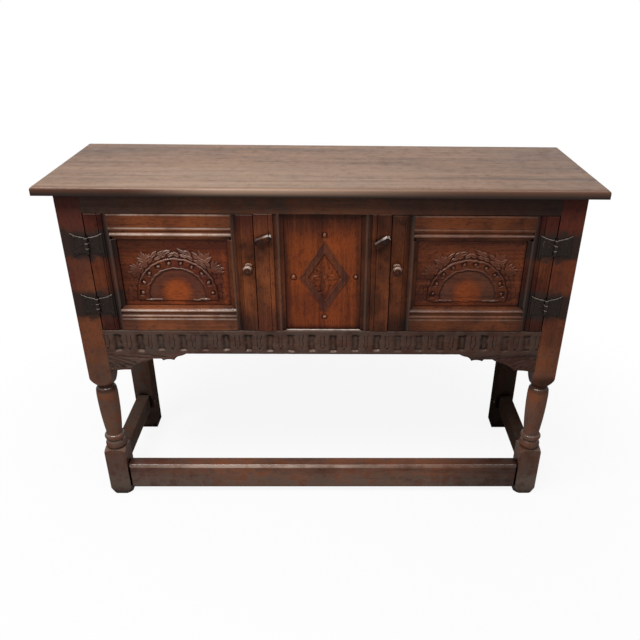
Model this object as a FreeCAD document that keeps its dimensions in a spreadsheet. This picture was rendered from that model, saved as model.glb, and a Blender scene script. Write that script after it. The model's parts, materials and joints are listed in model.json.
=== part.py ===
"""A joined oak kitchen dresser: a low cupboard with two carved doors, on turned front legs."""
import FreeCAD, Part
import math
import os
from types import SimpleNamespace

import Sketcher

# Driving dimensions, in millimetres and degrees
SIZES = {
    "overall_height": 850,
    "top_length": 1220,
    "top_depth": 396,
    "top_thickness": 19,
    "top_edge_round": 7,
    "top_front_board": 140,
    "top_rear_board": 122,
    "front_overhang": 28,
    "side_overhang": 35,
    "back_overhang": 7,
    "leg_size": 54,
    "foot_block_height": 143,
    "shoulder_drop": 6,
    "foot_wear_height": 24,
    "tenon_length": 30,
    "tenon_thickness": 9,
    "tenon_setback": 9,
    "tenon_shoulder": 8,
    "tenon_fit": 0.2,
    "tenon_end_gap": 1,
    "peg_radius": 3.5,
    "peg_fit": 0.1,
    "peg_past_tenon": 3,
    "top_rail_height": 45,
    "opening_height": 287,
    "frieze_height": 63,
    "bracket_drop": 50,
    "bracket_length": 190,
    "flute_count": 20,
    "flute_span": 979,
    "flute_width": 27,
    "flute_foot": 9,
    "flute_head": 9,
    "flute_depth": 3,
    "side_top_rail_height": 60,
    "side_rail_height": 65,
    "side_rail_thickness": 25,
    "back_top_rail_height": 50,
    "back_rail_height": 60,
    "back_rail_thickness": 22,
    "back_board_thickness": 10,
    "board_gap": 0.4,
    "front_stretcher_low": 17,
    "front_stretcher_height": 77,
    "front_stretcher_setback": 4,
    "side_stretcher_low": 71,
    "side_stretcher_height": 48,
    "side_stretcher_setback": 9,
    "stretcher_thickness": 34,
    "stretcher_tenon": 18,
    "muntin_width": 64.5,
    "muntin_flat": 31,
    "centre_width": 174,
    "panel_thickness": 8,
    "panel_depth": 11.5,
    "panel_fit": 0.15,
    "groove_depth": 8,
    "groove_end_gap": 1,
    "bead_drop": 1.4,
    "bead_swell": 1.1,
    "quirk_drop": 3.4,
    "torus_width": 7,
    "torus_swell": 2.6,
    "lip_width": 8,
    "lip_drop": 4.6,
    "lip_inner_drop": 8,
    "lip_hollow": 0.8,
    "door_thickness": 24,
    "door_setback": 0.8,
    "door_gap": 2,
    "stop_clearance": 0.2,
    "stile_width": 60,
    "stile_flat": 28,
    "stile_shoulder": 49,
    "door_rail_width": 60,
    "door_rail_flat": 30,
    "door_tenon": 30,
    "arch_outer_radius": 92,
    "arch_inner_radius": 66,
    "arch_stilt": 12,
    "arch_base": 12,
    "relief_height": 2.5,
    "lozenge_drop": 10,
    "lozenge_shift": 4,
    "lozenge_half_width": 58,
    "lozenge_half_height": 89,
    "lozenge_band": 0.3,
    "lozenge_core": 0.45,
    "stud_radius": 7,
    "stud_across": 72,
    "stud_up": 101,
    "knob_radius": 12,
    "knob_reach": 28,
    "knob_drop": 123,
    "knob_spigot_radius": 5,
    "knob_spigot_length": 15,
    "knob_fit": 0.1,
    "upper_hinge_inset": 71,
    "lower_hinge_inset": 65,
    "leaf_length": 35,
    "leaf_thickness": 2,
    "leaf_end_height": 56,
    "leaf_waist_height": 36,
    "leaf_hollow": 2,
    "knuckle_radius": 4,
    "knuckle_clearance": 0.4,
    "knuckle_gap": 0.6,
    "tab_overlap": 1,
    "pin_radius": 1.8,
    "pin_fit": 0.05,
    "pin_head_radius": 3,
    "pin_head_length": 1.5,
    "nail_radius": 1.5,
    "nail_fit": 0.1,
    "nail_length": 10,
    "nail_head_radius": 3.2,
    "nail_head_height": 1.4,
    "button_pivot_across": 136,
    "button_drop": 59,
    "button_long_end": 25,
    "button_short_end": 15,
    "button_half_width": 6.5,
    "button_thickness": 12,
    "button_clearance": 0.3,
    "button_screw_radius": 2,
    "button_screw_fit": 0.05,
    "button_screw_length": 18,
    "button_head_radius": 4,
    "button_head_height": 2,
    "left_button_tilt": 21,
    "right_button_tilt": 212.5,
    "floor_thickness": 12,
    "bearer_size": 20,
    "stop_length": 40,
    "stop_thickness": 14,
    "stop_overlap": 14,
    "glue_block_length": 60,
    "glue_block_size": 20,
}
FLOOR_BOARDS = 5
BACK_BOARDS = 5
LEFT, RIGHT = -1, 1

# Turned part of a front leg: radius as a share of the leg size, height as a share of the
# turned length, and the swell of the arc up to the next corner as a share of the leg size
FULL_RADIUS = 0.75
FOOT_RADIUS = 0.56
BLOCK_SHOULDER = 0.12
BLOCK_SWELL = 0.03
TURNING = [
    (0.43, 0.013, 0.068),
    (0.40, 0.097, None),
    (0.37, 0.105, None),
    (0.38, 0.114, 0.100),
    (0.385, 0.186, None),
    (0.365, 0.198, 0.031),
    (0.487, 0.675, 0.005),
    (0.467, 0.755, 0.021),
    (0.365, 0.795, None),
    (0.365, 0.823, 0.093),
]

# Lower edge of the frieze beside a leg: distance from the leg as a share of the bracket
# length, then the drop and the swell up to the next corner as shares of the bracket drop
BRACKET = [
    (0.0, 1.0, -0.030),
    (0.27, 0.90, -0.044),
    (0.43, 0.50, 0.032),
    (0.57, 0.28, None),
    (0.68, 0.28, None),
    (0.70, 0.38, -0.060),
    (0.84, 0.36, -0.030),
    (0.90, 0.14, 0.024),
    (1.0, 0.0, None),
]

# A knob from its front to the door: radius as a share of the knob radius, distance from the
# door as a share of the reach, and the swell up to the next corner as a share of the radius
KNOB = [
    (0.0, 1.0, -0.08),
    (0.78, 0.94, -0.08),
    (1.0, 0.78, -0.10),
    (0.74, 0.60, 0.12),
    (0.46, 0.36, None),
    (0.46, 0.22, None),
    (0.78, 0.16, -0.04),
    (0.84, 0.0, None),
]
# Share of a moulding, from its plain face to its torus, that the bead beside the face takes
BEAD_SHARE = 0.6

GLUE_BLOCK_SPOTS = (-0.7, 0, 0.7)
SAME_PLACE = 0.01
NAIL_SPOTS = [(0.36, 0.0), (0.74, 0.31), (0.74, -0.31)]
ALONG = {
    "x": FreeCAD.Rotation(FreeCAD.Vector(0, 1, 0), 90),
    "y": FreeCAD.Rotation(FreeCAD.Vector(1, 0, 0), -90),
    "z": FreeCAD.Rotation(),
}

doc = FreeCAD.newDocument("kitchen_dresser")
sheet = doc.addObject("Spreadsheet::Sheet", "Sizes")
pieces = []


class Dim:
    """A length: its number, and the sheet expression that keeps it bound to the sizes."""

    def __init__(self, number, text):
        self.number = float(number)
        self.text = text

    def __add__(self, other):
        other = dim(other)
        return Dim(self.number + other.number, f"({self.text} + {other.text})")

    def __sub__(self, other):
        other = dim(other)
        return Dim(self.number - other.number, f"({self.text} - {other.text})")

    def __mul__(self, other):
        other = dim(other)
        return Dim(self.number * other.number, f"({self.text} * {other.text})")

    def __truediv__(self, other):
        other = dim(other)
        return Dim(self.number / other.number, f"({self.text} / {other.text})")

    def __neg__(self):
        return self * -1

    def __rsub__(self, other):
        return dim(other) - self

    __radd__ = __add__
    __rmul__ = __mul__


def dim(value):
    """A plain number as a Dim."""
    return value if isinstance(value, Dim) else Dim(value, f"({value})")


def root(value):
    """The square root of a Dim."""
    return Dim(math.sqrt(value.number), f"sqrt({value.text})")


def fill_sheet():
    """Writes the sizes into the sheet and gives them back as Dims."""
    for row, (alias, number) in enumerate(SIZES.items(), start=1):
        sheet.set(f"A{row}", alias)
        sheet.set(f"B{row}", str(number))
        sheet.setAlias(f"B{row}", alias)
    doc.recompute()
    dims = {alias: Dim(number, f"Sizes.{alias}") for alias, number in SIZES.items()}
    return SimpleNamespace(**dims)


size = fill_sheet()

# Planes that several pieces share
half_length = size.top_length / 2
half_depth = size.top_depth / 2
leg_outer = half_length - size.side_overhang
leg_inner = leg_outer - size.leg_size
front = size.front_overhang - half_depth
back = half_depth - size.back_overhang
front_leg_back = front + size.leg_size
rear_leg_front = back - size.leg_size
top_under = size.overall_height - size.top_thickness
rail_thickness = size.door_thickness + size.door_setback + size.stop_clearance
rail_back = front + rail_thickness
top_rail_low = top_under - size.top_rail_height
frieze_top = top_rail_low - size.opening_height
frieze_low = frieze_top - size.frieze_height
leg_shoulder = frieze_low - size.bracket_drop - size.shoulder_drop
side_rail_inner = leg_outer - size.side_rail_thickness
back_rail_back = back - size.back_board_thickness
back_rail_front = back_rail_back - size.back_rail_thickness
muntin_inner = size.centre_width / 2
muntin_outer = muntin_inner + size.muntin_width
groove_width = size.panel_thickness + size.panel_fit * 2
panel_reach = size.groove_depth - size.groove_end_gap
door_face = front + size.door_setback
door_back = door_face + size.door_thickness
door_low = frieze_top + size.door_gap
door_high = top_rail_low - size.door_gap
hinge_edge = leg_inner - size.door_gap
lock_edge = muntin_outer + size.door_gap
hinge_axis = leg_inner - size.door_gap / 2
hinge_axis_y = front - size.knuckle_radius - size.knuckle_clearance
hinge_heights = {
    "upper": door_high - size.upper_hinge_inset,
    "lower": door_low + size.lower_hinge_inset,
}
knob_height = door_high - size.knob_drop
button_height = top_rail_low - size.button_drop


def bind(thing, prop, value):
    thing.setExpression(prop, dim(value).text)


def place(thing, x, y, z):
    for axis, value in zip("xyz", (x, y, z)):
        bind(thing, f"Placement.Base.{axis}", value)


def piece(thing, label):
    """Keeps a finished sub-part under its own name."""
    thing.Label = label
    pieces.append(thing)
    return thing


def block(name, xs, ys, zs):
    """A box between two values on each axis."""
    box = doc.addObject("Part::Box", name)
    for prop, axis, ends in zip(("Length", "Width", "Height"), "xyz", (xs, ys, zs)):
        low, high = sorted(map(dim, ends), key=lambda value: value.number)
        bind(box, prop, high - low)
        bind(box, f"Placement.Base.{axis}", low)
    return box


def rod(name, axis, radius, centre, ends):
    """A cylinder along one axis; centre holds its two other coordinates in x, y, z order."""
    cylinder = doc.addObject("Part::Cylinder", name)
    cylinder.Placement = FreeCAD.Placement(FreeCAD.Vector(), ALONG[axis])
    low, high = sorted(map(dim, ends), key=lambda value: value.number)
    bind(cylinder, "Radius", radius)
    bind(cylinder, "Height", high - low)
    base = list(centre)
    base.insert("xyz".index(axis), low)
    place(cylinder, *base)
    return cylinder


def join(name, things):
    fused = doc.addObject("Part::MultiFuse", name)
    fused.Shapes = things
    fused.Refine = True
    return fused


def carve(name, base, tools):
    """Base less all the tools."""
    cut = doc.addObject("Part::Cut", name)
    cut.Base = base
    cut.Tool = tools[0] if len(tools) == 1 else join(f"{name}_cuts", tools)
    return cut


def group(name, things):
    """One node that holds several separate solids."""
    compound = doc.addObject("Part::Compound", name)
    compound.Links = things
    return piece(compound, name)


def mirrored(name, source):
    """The right-hand twin of a left-hand piece."""
    twin = doc.addObject("Part::Mirroring", name)
    twin.Source = source
    twin.Normal = FreeCAD.Vector(1, 0, 0)
    return piece(twin, name)


def pair(name, source):
    """A left-hand piece and its right-hand twin."""
    piece(source, name)
    mirrored(name.replace("left", "right"), source)


def draw(sketch, corners):
    """A closed outline. Each corner is x, y and the swell of the edge to the next corner:
    None for a straight edge, or how far an arc stands out to the right of its chord."""
    points = [(dim(x), dim(y)) for x, y, _ in corners]
    first = len(sketch.Geometry)
    rules = []
    bound = []
    for step, (_, _, swell) in enumerate(corners):
        (x1, y1), (x2, y2) = points[step], points[(step + 1) % len(points)]
        start = FreeCAD.Vector(x1.number, y1.number, 0)
        end = FreeCAD.Vector(x2.number, y2.number, 0)
        if swell is None:
            sketch.addGeometry(Part.LineSegment(start, end))
            continue
        swell = dim(swell)
        run, rise = x2 - x1, y2 - y1
        chord = root(run * run + rise * rise)
        offset = swell / 2 - chord * chord / (swell * 8)
        right = FreeCAD.Vector(rise.number, -run.number, 0) / chord.number
        index = sketch.addGeometry(Part.Arc(start, (start + end) / 2 + right * swell.number, end))
        if abs(run.number) >= abs(rise.number):
            centre = (y1 + y2) / 2 - run * offset / chord
            rules.append(Sketcher.Constraint("DistanceY", -1, 1, index, 3, centre.number))
        else:
            centre = (x1 + x2) / 2 + rise * offset / chord
            rules.append(Sketcher.Constraint("DistanceX", -1, 1, index, 3, centre.number))
        bound.append((len(rules) - 1, f"centre{index}", centre))
    for step, (x, y) in enumerate(points):
        here = first + step
        before = first + (step - 1) % len(points)
        spot = FreeCAD.Vector(x.number, y.number, 0)
        tail = end_at(sketch, here, spot)
        rules.append(Sketcher.Constraint("Coincident", before, end_at(sketch, before, spot), here, tail))
        for kind, axis, letter, value in (("DistanceX", -2, "x", x), ("DistanceY", -1, "y", y)):
            if value.text == "(0)":
                rules.append(Sketcher.Constraint("PointOnObject", here, tail, axis))
                continue
            rules.append(Sketcher.Constraint(kind, -1, 1, here, tail, value.number))
            bound.append((len(rules) - 1, f"{letter}{here}", value))
    known = sketch.ConstraintCount
    sketch.addConstraint(rules)
    for index, name, value in bound:
        sketch.renameConstraint(known + index, name)
        bind(sketch, f"Constraints.{name}", value)


def end_at(sketch, index, spot):
    """1 or 2: the end of an edge that lies at the spot."""
    gaps = [(sketch.getPoint(index, end) - spot).Length for end in (1, 2)]
    return 1 + gaps.index(min(gaps))


def new_sketch(body, name, plane, corners):
    """An outline on one of the body's own planes."""
    role = {"XY": "XY_Plane", "XZ": "XZ_Plane", "YZ": "YZ_Plane"}[plane]
    sketch = body.newObject("Sketcher::SketchObject", name)
    support = next(item for item in body.Origin.OriginFeatures if item.Role == role)
    sketch.AttachmentSupport = (support, [""])
    sketch.MapMode = "FlatFace"
    draw(sketch, corners)
    return sketch


def pad(body, name, plane, corners, length, backwards=False):
    feature = body.newObject("PartDesign::Pad", name)
    feature.Profile = new_sketch(body, f"{name}_outline", plane, corners)
    feature.Reversed = backwards
    bind(feature, "Length", length)
    return feature


def rectangle(across, up):
    """Corners of an upright rectangle."""
    (left, right), (low, high) = across, up
    return [(left, low, None), (right, low, None), (right, high, None), (left, high, None)]


def new_body(name):
    return doc.addObject("PartDesign::Body", name)


def turned(name, plane, corners):
    """A body turned about the upright axis of its outline."""
    body = new_body(name)
    sketch = new_sketch(body, f"{name}_outline", plane, corners)
    feature = body.newObject("PartDesign::Revolution", f"{name}_turning")
    feature.Profile = sketch
    feature.ReferenceAxis = (sketch, ["V_Axis"])
    feature.Angle = 360
    return body


def grown(ends, fit):
    """The two ends of a tenon, moved apart by its clearance."""
    low, high = sorted(map(dim, ends), key=lambda value: value.number)
    return (low - fit, high + fit)


def middle(ends, share=0.5):
    low, high = sorted(map(dim, ends), key=lambda value: value.number)
    return low + (high - low) * share


def inset(ends, amount):
    low, high = sorted(map(dim, ends), key=lambda value: value.number)
    return (low + amount, high - amount)


# Joints between legs and rails: each tenon's section, shared by rail, mortise and peg
front_tenon_ys = (front + size.tenon_setback, front + size.tenon_setback + size.tenon_thickness)
back_tenon_waste = (size.back_rail_thickness - size.tenon_thickness) / 2
back_tenon_ys = inset((back_rail_front, back_rail_back), back_tenon_waste)
side_tenon_xs = (leg_outer - size.tenon_setback, leg_outer - size.tenon_setback - size.tenon_thickness)
front_stretcher_face = front + size.front_stretcher_setback
front_stretcher_ys = (front_stretcher_face, front_stretcher_face + size.stretcher_thickness)
side_stretcher_face = leg_outer - size.side_stretcher_setback
side_stretcher_xs = (side_stretcher_face, side_stretcher_face - size.stretcher_thickness)
top_rail_zs = (top_rail_low, top_under)
frieze_zs = (frieze_low, frieze_top)
side_top_zs = (top_under - size.side_top_rail_height, top_under)
side_bottom_zs = (frieze_top - size.side_rail_height, frieze_top)
back_top_zs = (top_under - size.back_top_rail_height, top_under)
back_bottom_zs = (frieze_top - size.back_rail_height, frieze_top)
front_stretcher_zs = (size.front_stretcher_low, size.front_stretcher_low + size.front_stretcher_height)
side_stretcher_zs = (size.side_stretcher_low, size.side_stretcher_low + size.side_stretcher_height)


def tenon(name, across, zs, length):
    return SimpleNamespace(name=name, across=across, zs=inset(zs, size.tenon_shoulder), length=length)


def stretcher_tenon(name, across, zs):
    waste = (size.stretcher_thickness - size.tenon_thickness) / 2
    return tenon(name, inset(across, waste), zs, size.stretcher_tenon)


FRONT_TENONS = {
    "top": tenon("top", front_tenon_ys, top_rail_zs, size.tenon_length),
    "frieze": tenon("frieze", front_tenon_ys, frieze_zs, size.tenon_length),
    "stretcher": stretcher_tenon("stretcher", front_stretcher_ys, front_stretcher_zs),
}
BACK_TENONS = {
    "top": tenon("top", back_tenon_ys, back_top_zs, size.tenon_length),
    "bottom": tenon("bottom", back_tenon_ys, back_bottom_zs, size.tenon_length),
}
SIDE_TENONS = {
    "top": tenon("top", side_tenon_xs, side_top_zs, size.tenon_length),
    "bottom": tenon("bottom", side_tenon_xs, side_bottom_zs, size.tenon_length),
    "stretcher": stretcher_tenon("stretcher", side_stretcher_xs, side_stretcher_zs),
}
CROSS_PEG_SHARE = 0.3


def cross_peg(name, side, joint, leg_face, radius):
    """A peg through a front or back rail's tenon, driven from inside the cupboard."""
    near, far = sorted(joint.across, key=lambda value: abs(value.number - leg_face.number))
    inward = 1 if far.number > leg_face.number else -1
    x = (leg_inner + joint.length / 2) * side
    return rod(name, "y", radius, (x, middle(joint.zs)), (leg_face, far + size.peg_past_tenon * inward))


def side_peg(name, side, joint, y, radius):
    """A peg through a side rail's tenon, driven from inside the cupboard."""
    outer = max(joint.across, key=lambda value: value.number)
    ends = (leg_inner * side, (outer + size.peg_past_tenon) * side)
    return rod(name, "x", radius, (y, middle(joint.zs, CROSS_PEG_SHARE)), ends)


def leg_cuts(name, cross_joints, leg_face, inward):
    """Mortises, peg holes and panel groove of a left leg; inward points into the leg along y."""
    hole = size.peg_radius + size.peg_fit
    cuts = []
    for joint in cross_joints.values():
        reach = leg_inner + joint.length + size.tenon_end_gap
        ys, zs = grown(joint.across, size.tenon_fit), grown(joint.zs, size.tenon_fit)
        cuts.append(block(f"{name}_{joint.name}_cross_mortise", (-leg_inner, -reach), ys, zs))
        cuts.append(cross_peg(f"{name}_{joint.name}_cross_hole", LEFT, joint, leg_face, hole))
    for joint in SIDE_TENONS.values():
        reach = leg_face + (joint.length + size.tenon_end_gap) * inward
        low, high = grown(joint.across, size.tenon_fit)
        zs = grown(joint.zs, size.tenon_fit)
        y = leg_face + joint.length / 2 * inward
        cuts.append(block(f"{name}_{joint.name}_side_mortise", (-low, -high), (leg_face, reach), zs))
        cuts.append(side_peg(f"{name}_{joint.name}_side_hole", LEFT, joint, y, hole))
    groove_ys = (leg_face, leg_face + size.groove_depth * inward)
    low, high = grown(side_panel_xs, size.panel_fit)
    cuts.append(block(f"{name}_groove", (-low, -high), groove_ys, grown(side_panel_zs, size.groove_end_gap)))
    return cuts


side_panel_xs = inset((leg_outer, side_rail_inner), (size.side_rail_thickness - size.panel_thickness) / 2)
side_panel_zs = (side_bottom_zs[1] - panel_reach, side_top_zs[0] + panel_reach)


def front_legs():
    """Square posts, turned between the carcase and the foot block."""
    full = size.leg_size * FULL_RADIUS
    turned_length = leg_shoulder - size.foot_block_height
    foot = size.leg_size * FOOT_RADIUS
    corners = [(0, 0, None), (foot, 0, None), (full, size.foot_wear_height, None)]
    corners.append((full, size.foot_block_height - size.leg_size * BLOCK_SHOULDER, size.leg_size * BLOCK_SWELL))
    for radius, height, swell in TURNING:
        rise = None if swell is None else size.leg_size * swell
        corners.append((size.leg_size * radius, size.foot_block_height + turned_length * height, rise))
    corners += [(full, leg_shoulder, None), (full, top_under, None), (0, top_under, None)]
    turning = turned("front_left_leg_lathe", "XZ", corners)
    place(turning, size.leg_size / 2 - leg_outer, front + size.leg_size / 2, 0)
    blank = block("front_left_leg_blank", (-leg_outer, -leg_inner), (front, front_leg_back), (0, top_under))
    shaped = doc.addObject("Part::Common", "front_left_leg_shaped")
    shaped.Base = blank
    shaped.Tool = turning
    cuts = leg_cuts("front_left_leg", FRONT_TENONS, front_leg_back, -1)
    cuts += nail_holes("front_left_leg", -1, front)
    pair("front_left_leg", carve("front_left_leg", shaped, cuts))


def rear_legs():
    blank = block("rear_left_leg_blank", (-leg_outer, -leg_inner), (rear_leg_front, back), (0, top_under))
    cuts = leg_cuts("rear_left_leg", BACK_TENONS, rear_leg_front, 1)
    pair("rear_left_leg", carve("rear_left_leg", blank, cuts))


def cross_rail(name, bar, joint, leg_face, cuts):
    """A rail between two legs across the piece: its bar, tenons and peg holes."""
    reach = leg_inner + joint.length
    tenons = block(f"{name}_tenons", (-reach, reach), joint.across, joint.zs)
    hole = size.peg_radius + size.peg_fit
    holes = [cross_peg(f"{name}_hole_{side + 1}", side, joint, leg_face, hole) for side in (LEFT, RIGHT)]
    return piece(carve(name, join(f"{name}_joined", [bar, tenons]), cuts + holes), name)


def side_rail(name, xs, zs, joint, cuts):
    """A left-hand rail from front leg to rear leg, and its twin."""
    low, high = xs
    bar = block(f"{name}_bar", (-low, -high), (front_leg_back, rear_leg_front), zs)
    low, high = joint.across
    ends = (front_leg_back - joint.length, rear_leg_front + joint.length)
    tenons = block(f"{name}_tenons", (-low, -high), ends, joint.zs)
    hole = size.peg_radius + size.peg_fit
    middles = (front_leg_back - joint.length / 2, rear_leg_front + joint.length / 2)
    holes = [side_peg(f"{name}_hole_{step}", LEFT, joint, y, hole) for step, y in enumerate(middles)]
    pair(name, carve(name, join(f"{name}_joined", [bar, tenons]), cuts + holes))


def muntin_tenon_zs():
    depth = size.top_rail_height - size.groove_depth * 2
    return (frieze_top - depth, top_rail_low + depth)


def centre_cuts(name, zs):
    """Groove for the centre panel and mortises for the muntins, in the rail above or below."""
    groove_ys = (front + size.panel_depth, front + size.panel_depth + groove_width)
    groove_end = muntin_inner + size.groove_depth
    cuts = [block(f"{name}_groove", (-groove_end, groove_end), groove_ys, zs)]
    low, high = muntin_tenon_zs()
    for side in (LEFT, RIGHT):
        xs = inset((muntin_inner * side, muntin_outer * side), size.tenon_shoulder - size.tenon_fit)
        mortise_zs = (low - size.tenon_end_gap, high + size.tenon_end_gap)
        ys = grown(front_tenon_ys, size.tenon_fit)
        cuts.append(block(f"{name}_muntin_mortise_{side + 1}", xs, ys, mortise_zs))
    return cuts


def front_rails():
    bar = block("front_top_rail_bar", (-leg_inner, leg_inner), (front, rail_back), top_rail_zs)
    cuts = centre_cuts("front_top_rail", (top_rail_low, top_rail_low + size.groove_depth))
    cross_rail("front_top_rail", bar, FRONT_TENONS["top"], front_leg_back, cuts)
    cuts = centre_cuts("frieze_rail", (frieze_top - size.groove_depth, frieze_top))
    cross_rail("frieze_rail", frieze_bar(), FRONT_TENONS["frieze"], front_leg_back, cuts)


def frieze_bar():
    """The fluted rail below the doors, with a shaped bracket beside each leg."""
    body = new_body("frieze_rail_bar")
    place(body, 0, rail_back, 0)
    swells = [None if swell is None else size.bracket_drop * swell for _, _, swell in BRACKET]
    left_edge = [
        (size.bracket_length * share - leg_inner, frieze_low - size.bracket_drop * drop, swell)
        for (share, drop, _), swell in zip(BRACKET, swells)
    ]
    right_edge = [(-x, z, swell) for (x, z, _), swell in zip(left_edge[::-1], swells[-2::-1] + [None])]
    top_edge = [(leg_inner, frieze_top, None), (-leg_inner, frieze_top, None)]
    pad(body, "frieze_rail_pad", "XZ", left_edge + right_edge + top_edge, rail_thickness)
    half = size.flute_width / 2
    middle_x = size.flute_span / -2
    flute_low, flute_high = frieze_low + size.flute_foot + half, frieze_top - size.flute_head
    flute = [
        (middle_x - half, flute_low, half),
        (middle_x + half, flute_low, None),
        (middle_x + half, flute_high, None),
        (middle_x - half, flute_high, None),
    ]
    pocket = body.newObject("PartDesign::Pocket", "frieze_rail_flute")
    pocket.Profile = new_sketch(body, "frieze_rail_flute_outline", "XZ", flute)
    bind(pocket.Profile[0], "AttachmentOffset.Base.z", rail_thickness)
    bind(pocket, "Length", size.flute_depth)
    row = body.newObject("PartDesign::LinearPattern", "frieze_rail_flutes")
    row.Originals = [pocket]
    row.Direction = (pocket.Profile[0], ["H_Axis"])
    bind(row, "Length", size.flute_span)
    bind(row, "Occurrences", size.flute_count)
    body.Tip = row
    return body


def side_and_back_rails():
    xs = (leg_outer, side_rail_inner)
    groove_xs = [-value for value in grown(side_panel_xs, size.panel_fit)]
    for word, zs in (("top", side_top_zs), ("bottom", side_bottom_zs)):
        low, high = zs
        groove_zs = (low, low + size.groove_depth) if word == "top" else (high - size.groove_depth, high)
        name = f"left_side_{word}_rail"
        groove = block(f"{name}_groove", groove_xs, (front_leg_back, rear_leg_front), groove_zs)
        side_rail(name, xs, zs, SIDE_TENONS[word], [groove])
    for word, zs in (("top", back_top_zs), ("bottom", back_bottom_zs)):
        name = f"back_{word}_rail"
        bar = block(f"{name}_bar", (-leg_inner, leg_inner), (back_rail_front, back_rail_back), zs)
        cross_rail(name, bar, BACK_TENONS[word], rear_leg_front, [])


def stretchers():
    bar = block("front_stretcher_bar", (-leg_inner, leg_inner), front_stretcher_ys, front_stretcher_zs)
    cross_rail("front_stretcher", bar, FRONT_TENONS["stretcher"], front_leg_back, [])
    side_rail("left_stretcher", side_stretcher_xs, side_stretcher_zs, SIDE_TENONS["stretcher"], [])


def frame_pegs():
    """Oak pegs that lock the tenons of the frame."""
    pegs = []
    for side in (LEFT, RIGHT):
        for word, joints, face, inward in (
            ("front", FRONT_TENONS, front_leg_back, -1),
            ("rear", BACK_TENONS, rear_leg_front, 1),
        ):
            for joint in joints.values():
                name = f"{word}_{joint.name}_cross_peg_{side + 1}"
                pegs.append(cross_peg(name, side, joint, face, size.peg_radius))
            for joint in SIDE_TENONS.values():
                name = f"{word}_{joint.name}_side_peg_{side + 1}"
                pegs.append(side_peg(name, side, joint, face + joint.length / 2 * inward, size.peg_radius))
    group("frame_pegs", pegs)


def side_panels():
    low, high = side_panel_xs
    ys = (front_leg_back - panel_reach, rear_leg_front + panel_reach)
    pair("left_side_panel", block("left_side_panel", (-low, -high), ys, side_panel_zs))


def moulded_section(width, flat, thickness, across, upright):
    """Section of a framing bar with a plain face, a bead, a quirk, a torus, a hollow lip and a
    panel groove. It lies in depth and width; across gives the way from its plain edge."""
    groove_back = size.panel_depth + groove_width
    torus_inner = width - size.lip_width
    torus_outer = torus_inner - size.torus_width
    bead_inner = flat + (torus_outer - flat) * BEAD_SHARE
    section = [
        (0, 0, None),
        (flat, 0, None),
        (flat, size.bead_drop, size.bead_swell),
        (bead_inner, size.bead_drop, None),
        (bead_inner, size.quirk_drop, None),
        (torus_outer, size.quirk_drop, size.torus_swell),
        (torus_inner, size.quirk_drop, None),
        (torus_inner, size.lip_drop, -size.lip_hollow),
        (width, size.lip_inner_drop, None),
        (width, size.panel_depth, None),
        (width - size.groove_depth, size.panel_depth, None),
        (width - size.groove_depth, groove_back, None),
        (width, groove_back, None),
        (width, thickness, None),
        (0, thickness, None),
    ]
    turn = across if upright else -across
    corners = []
    for along, depth, swell in section:
        along = along if along == 0 else along * across
        rise = None if swell is None else swell * turn
        corners.append((along, depth, rise) if upright else (depth, along, rise))
    return corners


def muntins():
    """Uprights between the doors and the centre panel."""
    body = new_body("left_muntin_bar")
    corners = moulded_section(size.muntin_width, size.muntin_flat, rail_thickness, 1, True)
    pad(body, "left_muntin_pad", "XY", corners, top_rail_low - frieze_top)
    place(body, -muntin_outer, front, frieze_top)
    xs = inset((-muntin_outer, -muntin_inner), size.tenon_shoulder)
    low, high = muntin_tenon_zs()
    ends = [
        block("left_muntin_lower_tenon", xs, front_tenon_ys, (low, frieze_top)),
        block("left_muntin_upper_tenon", xs, front_tenon_ys, (top_rail_low, high)),
    ]
    hole = rod(
        "left_muntin_screw_hole",
        "y",
        size.button_screw_radius + size.button_screw_fit,
        (-size.button_pivot_across, button_height),
        (front, front + size.button_screw_length),
    )
    pair("left_muntin", carve("left_muntin", join("left_muntin_joined", [body] + ends), [hole]))


def board_body(name, xs, zs):
    """A panel whose face lies on the XZ plane of its body."""
    body = new_body(name)
    pad(body, f"{name}_board", "XZ", rectangle(xs, zs), size.panel_thickness, backwards=True)
    return body


def centre_panel():
    """The fixed panel between the doors, with a carved lozenge and four studs."""
    reach = muntin_inner + panel_reach
    zs = (frieze_top - panel_reach, top_rail_low + panel_reach)
    body = board_body("centre_panel", (-reach, reach), zs)
    place(body, 0, front + size.panel_depth + size.panel_fit, 0)
    across_centre = size.lozenge_shift
    centre = (frieze_top + top_rail_low) / 2 - size.lozenge_drop

    def lozenge(share):
        wide, tall = size.lozenge_half_width * share, size.lozenge_half_height * share
        tips = [(0, -tall), (wide, 0), (0, tall), (-wide, 0)]
        return [(across_centre + x, centre + z, None) for x, z in tips]

    band = pad(body, "centre_panel_lozenge", "XZ", lozenge(1), size.relief_height)
    draw(band.Profile[0], lozenge(1 - size.lozenge_band))
    pad(body, "centre_panel_core", "XZ", lozenge(size.lozenge_core), size.relief_height)
    for step, (across, up) in enumerate([(-1, 0), (1, 0), (0, 1), (0, -1)]):
        x, z = across_centre + size.stud_across * across, centre + size.stud_up * up
        ring = [(x - size.stud_radius, z, size.stud_radius), (x + size.stud_radius, z, size.stud_radius)]
        pad(body, f"centre_panel_stud_{step}", "XZ", ring, size.relief_height)
    piece(body, "centre_panel")


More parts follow.
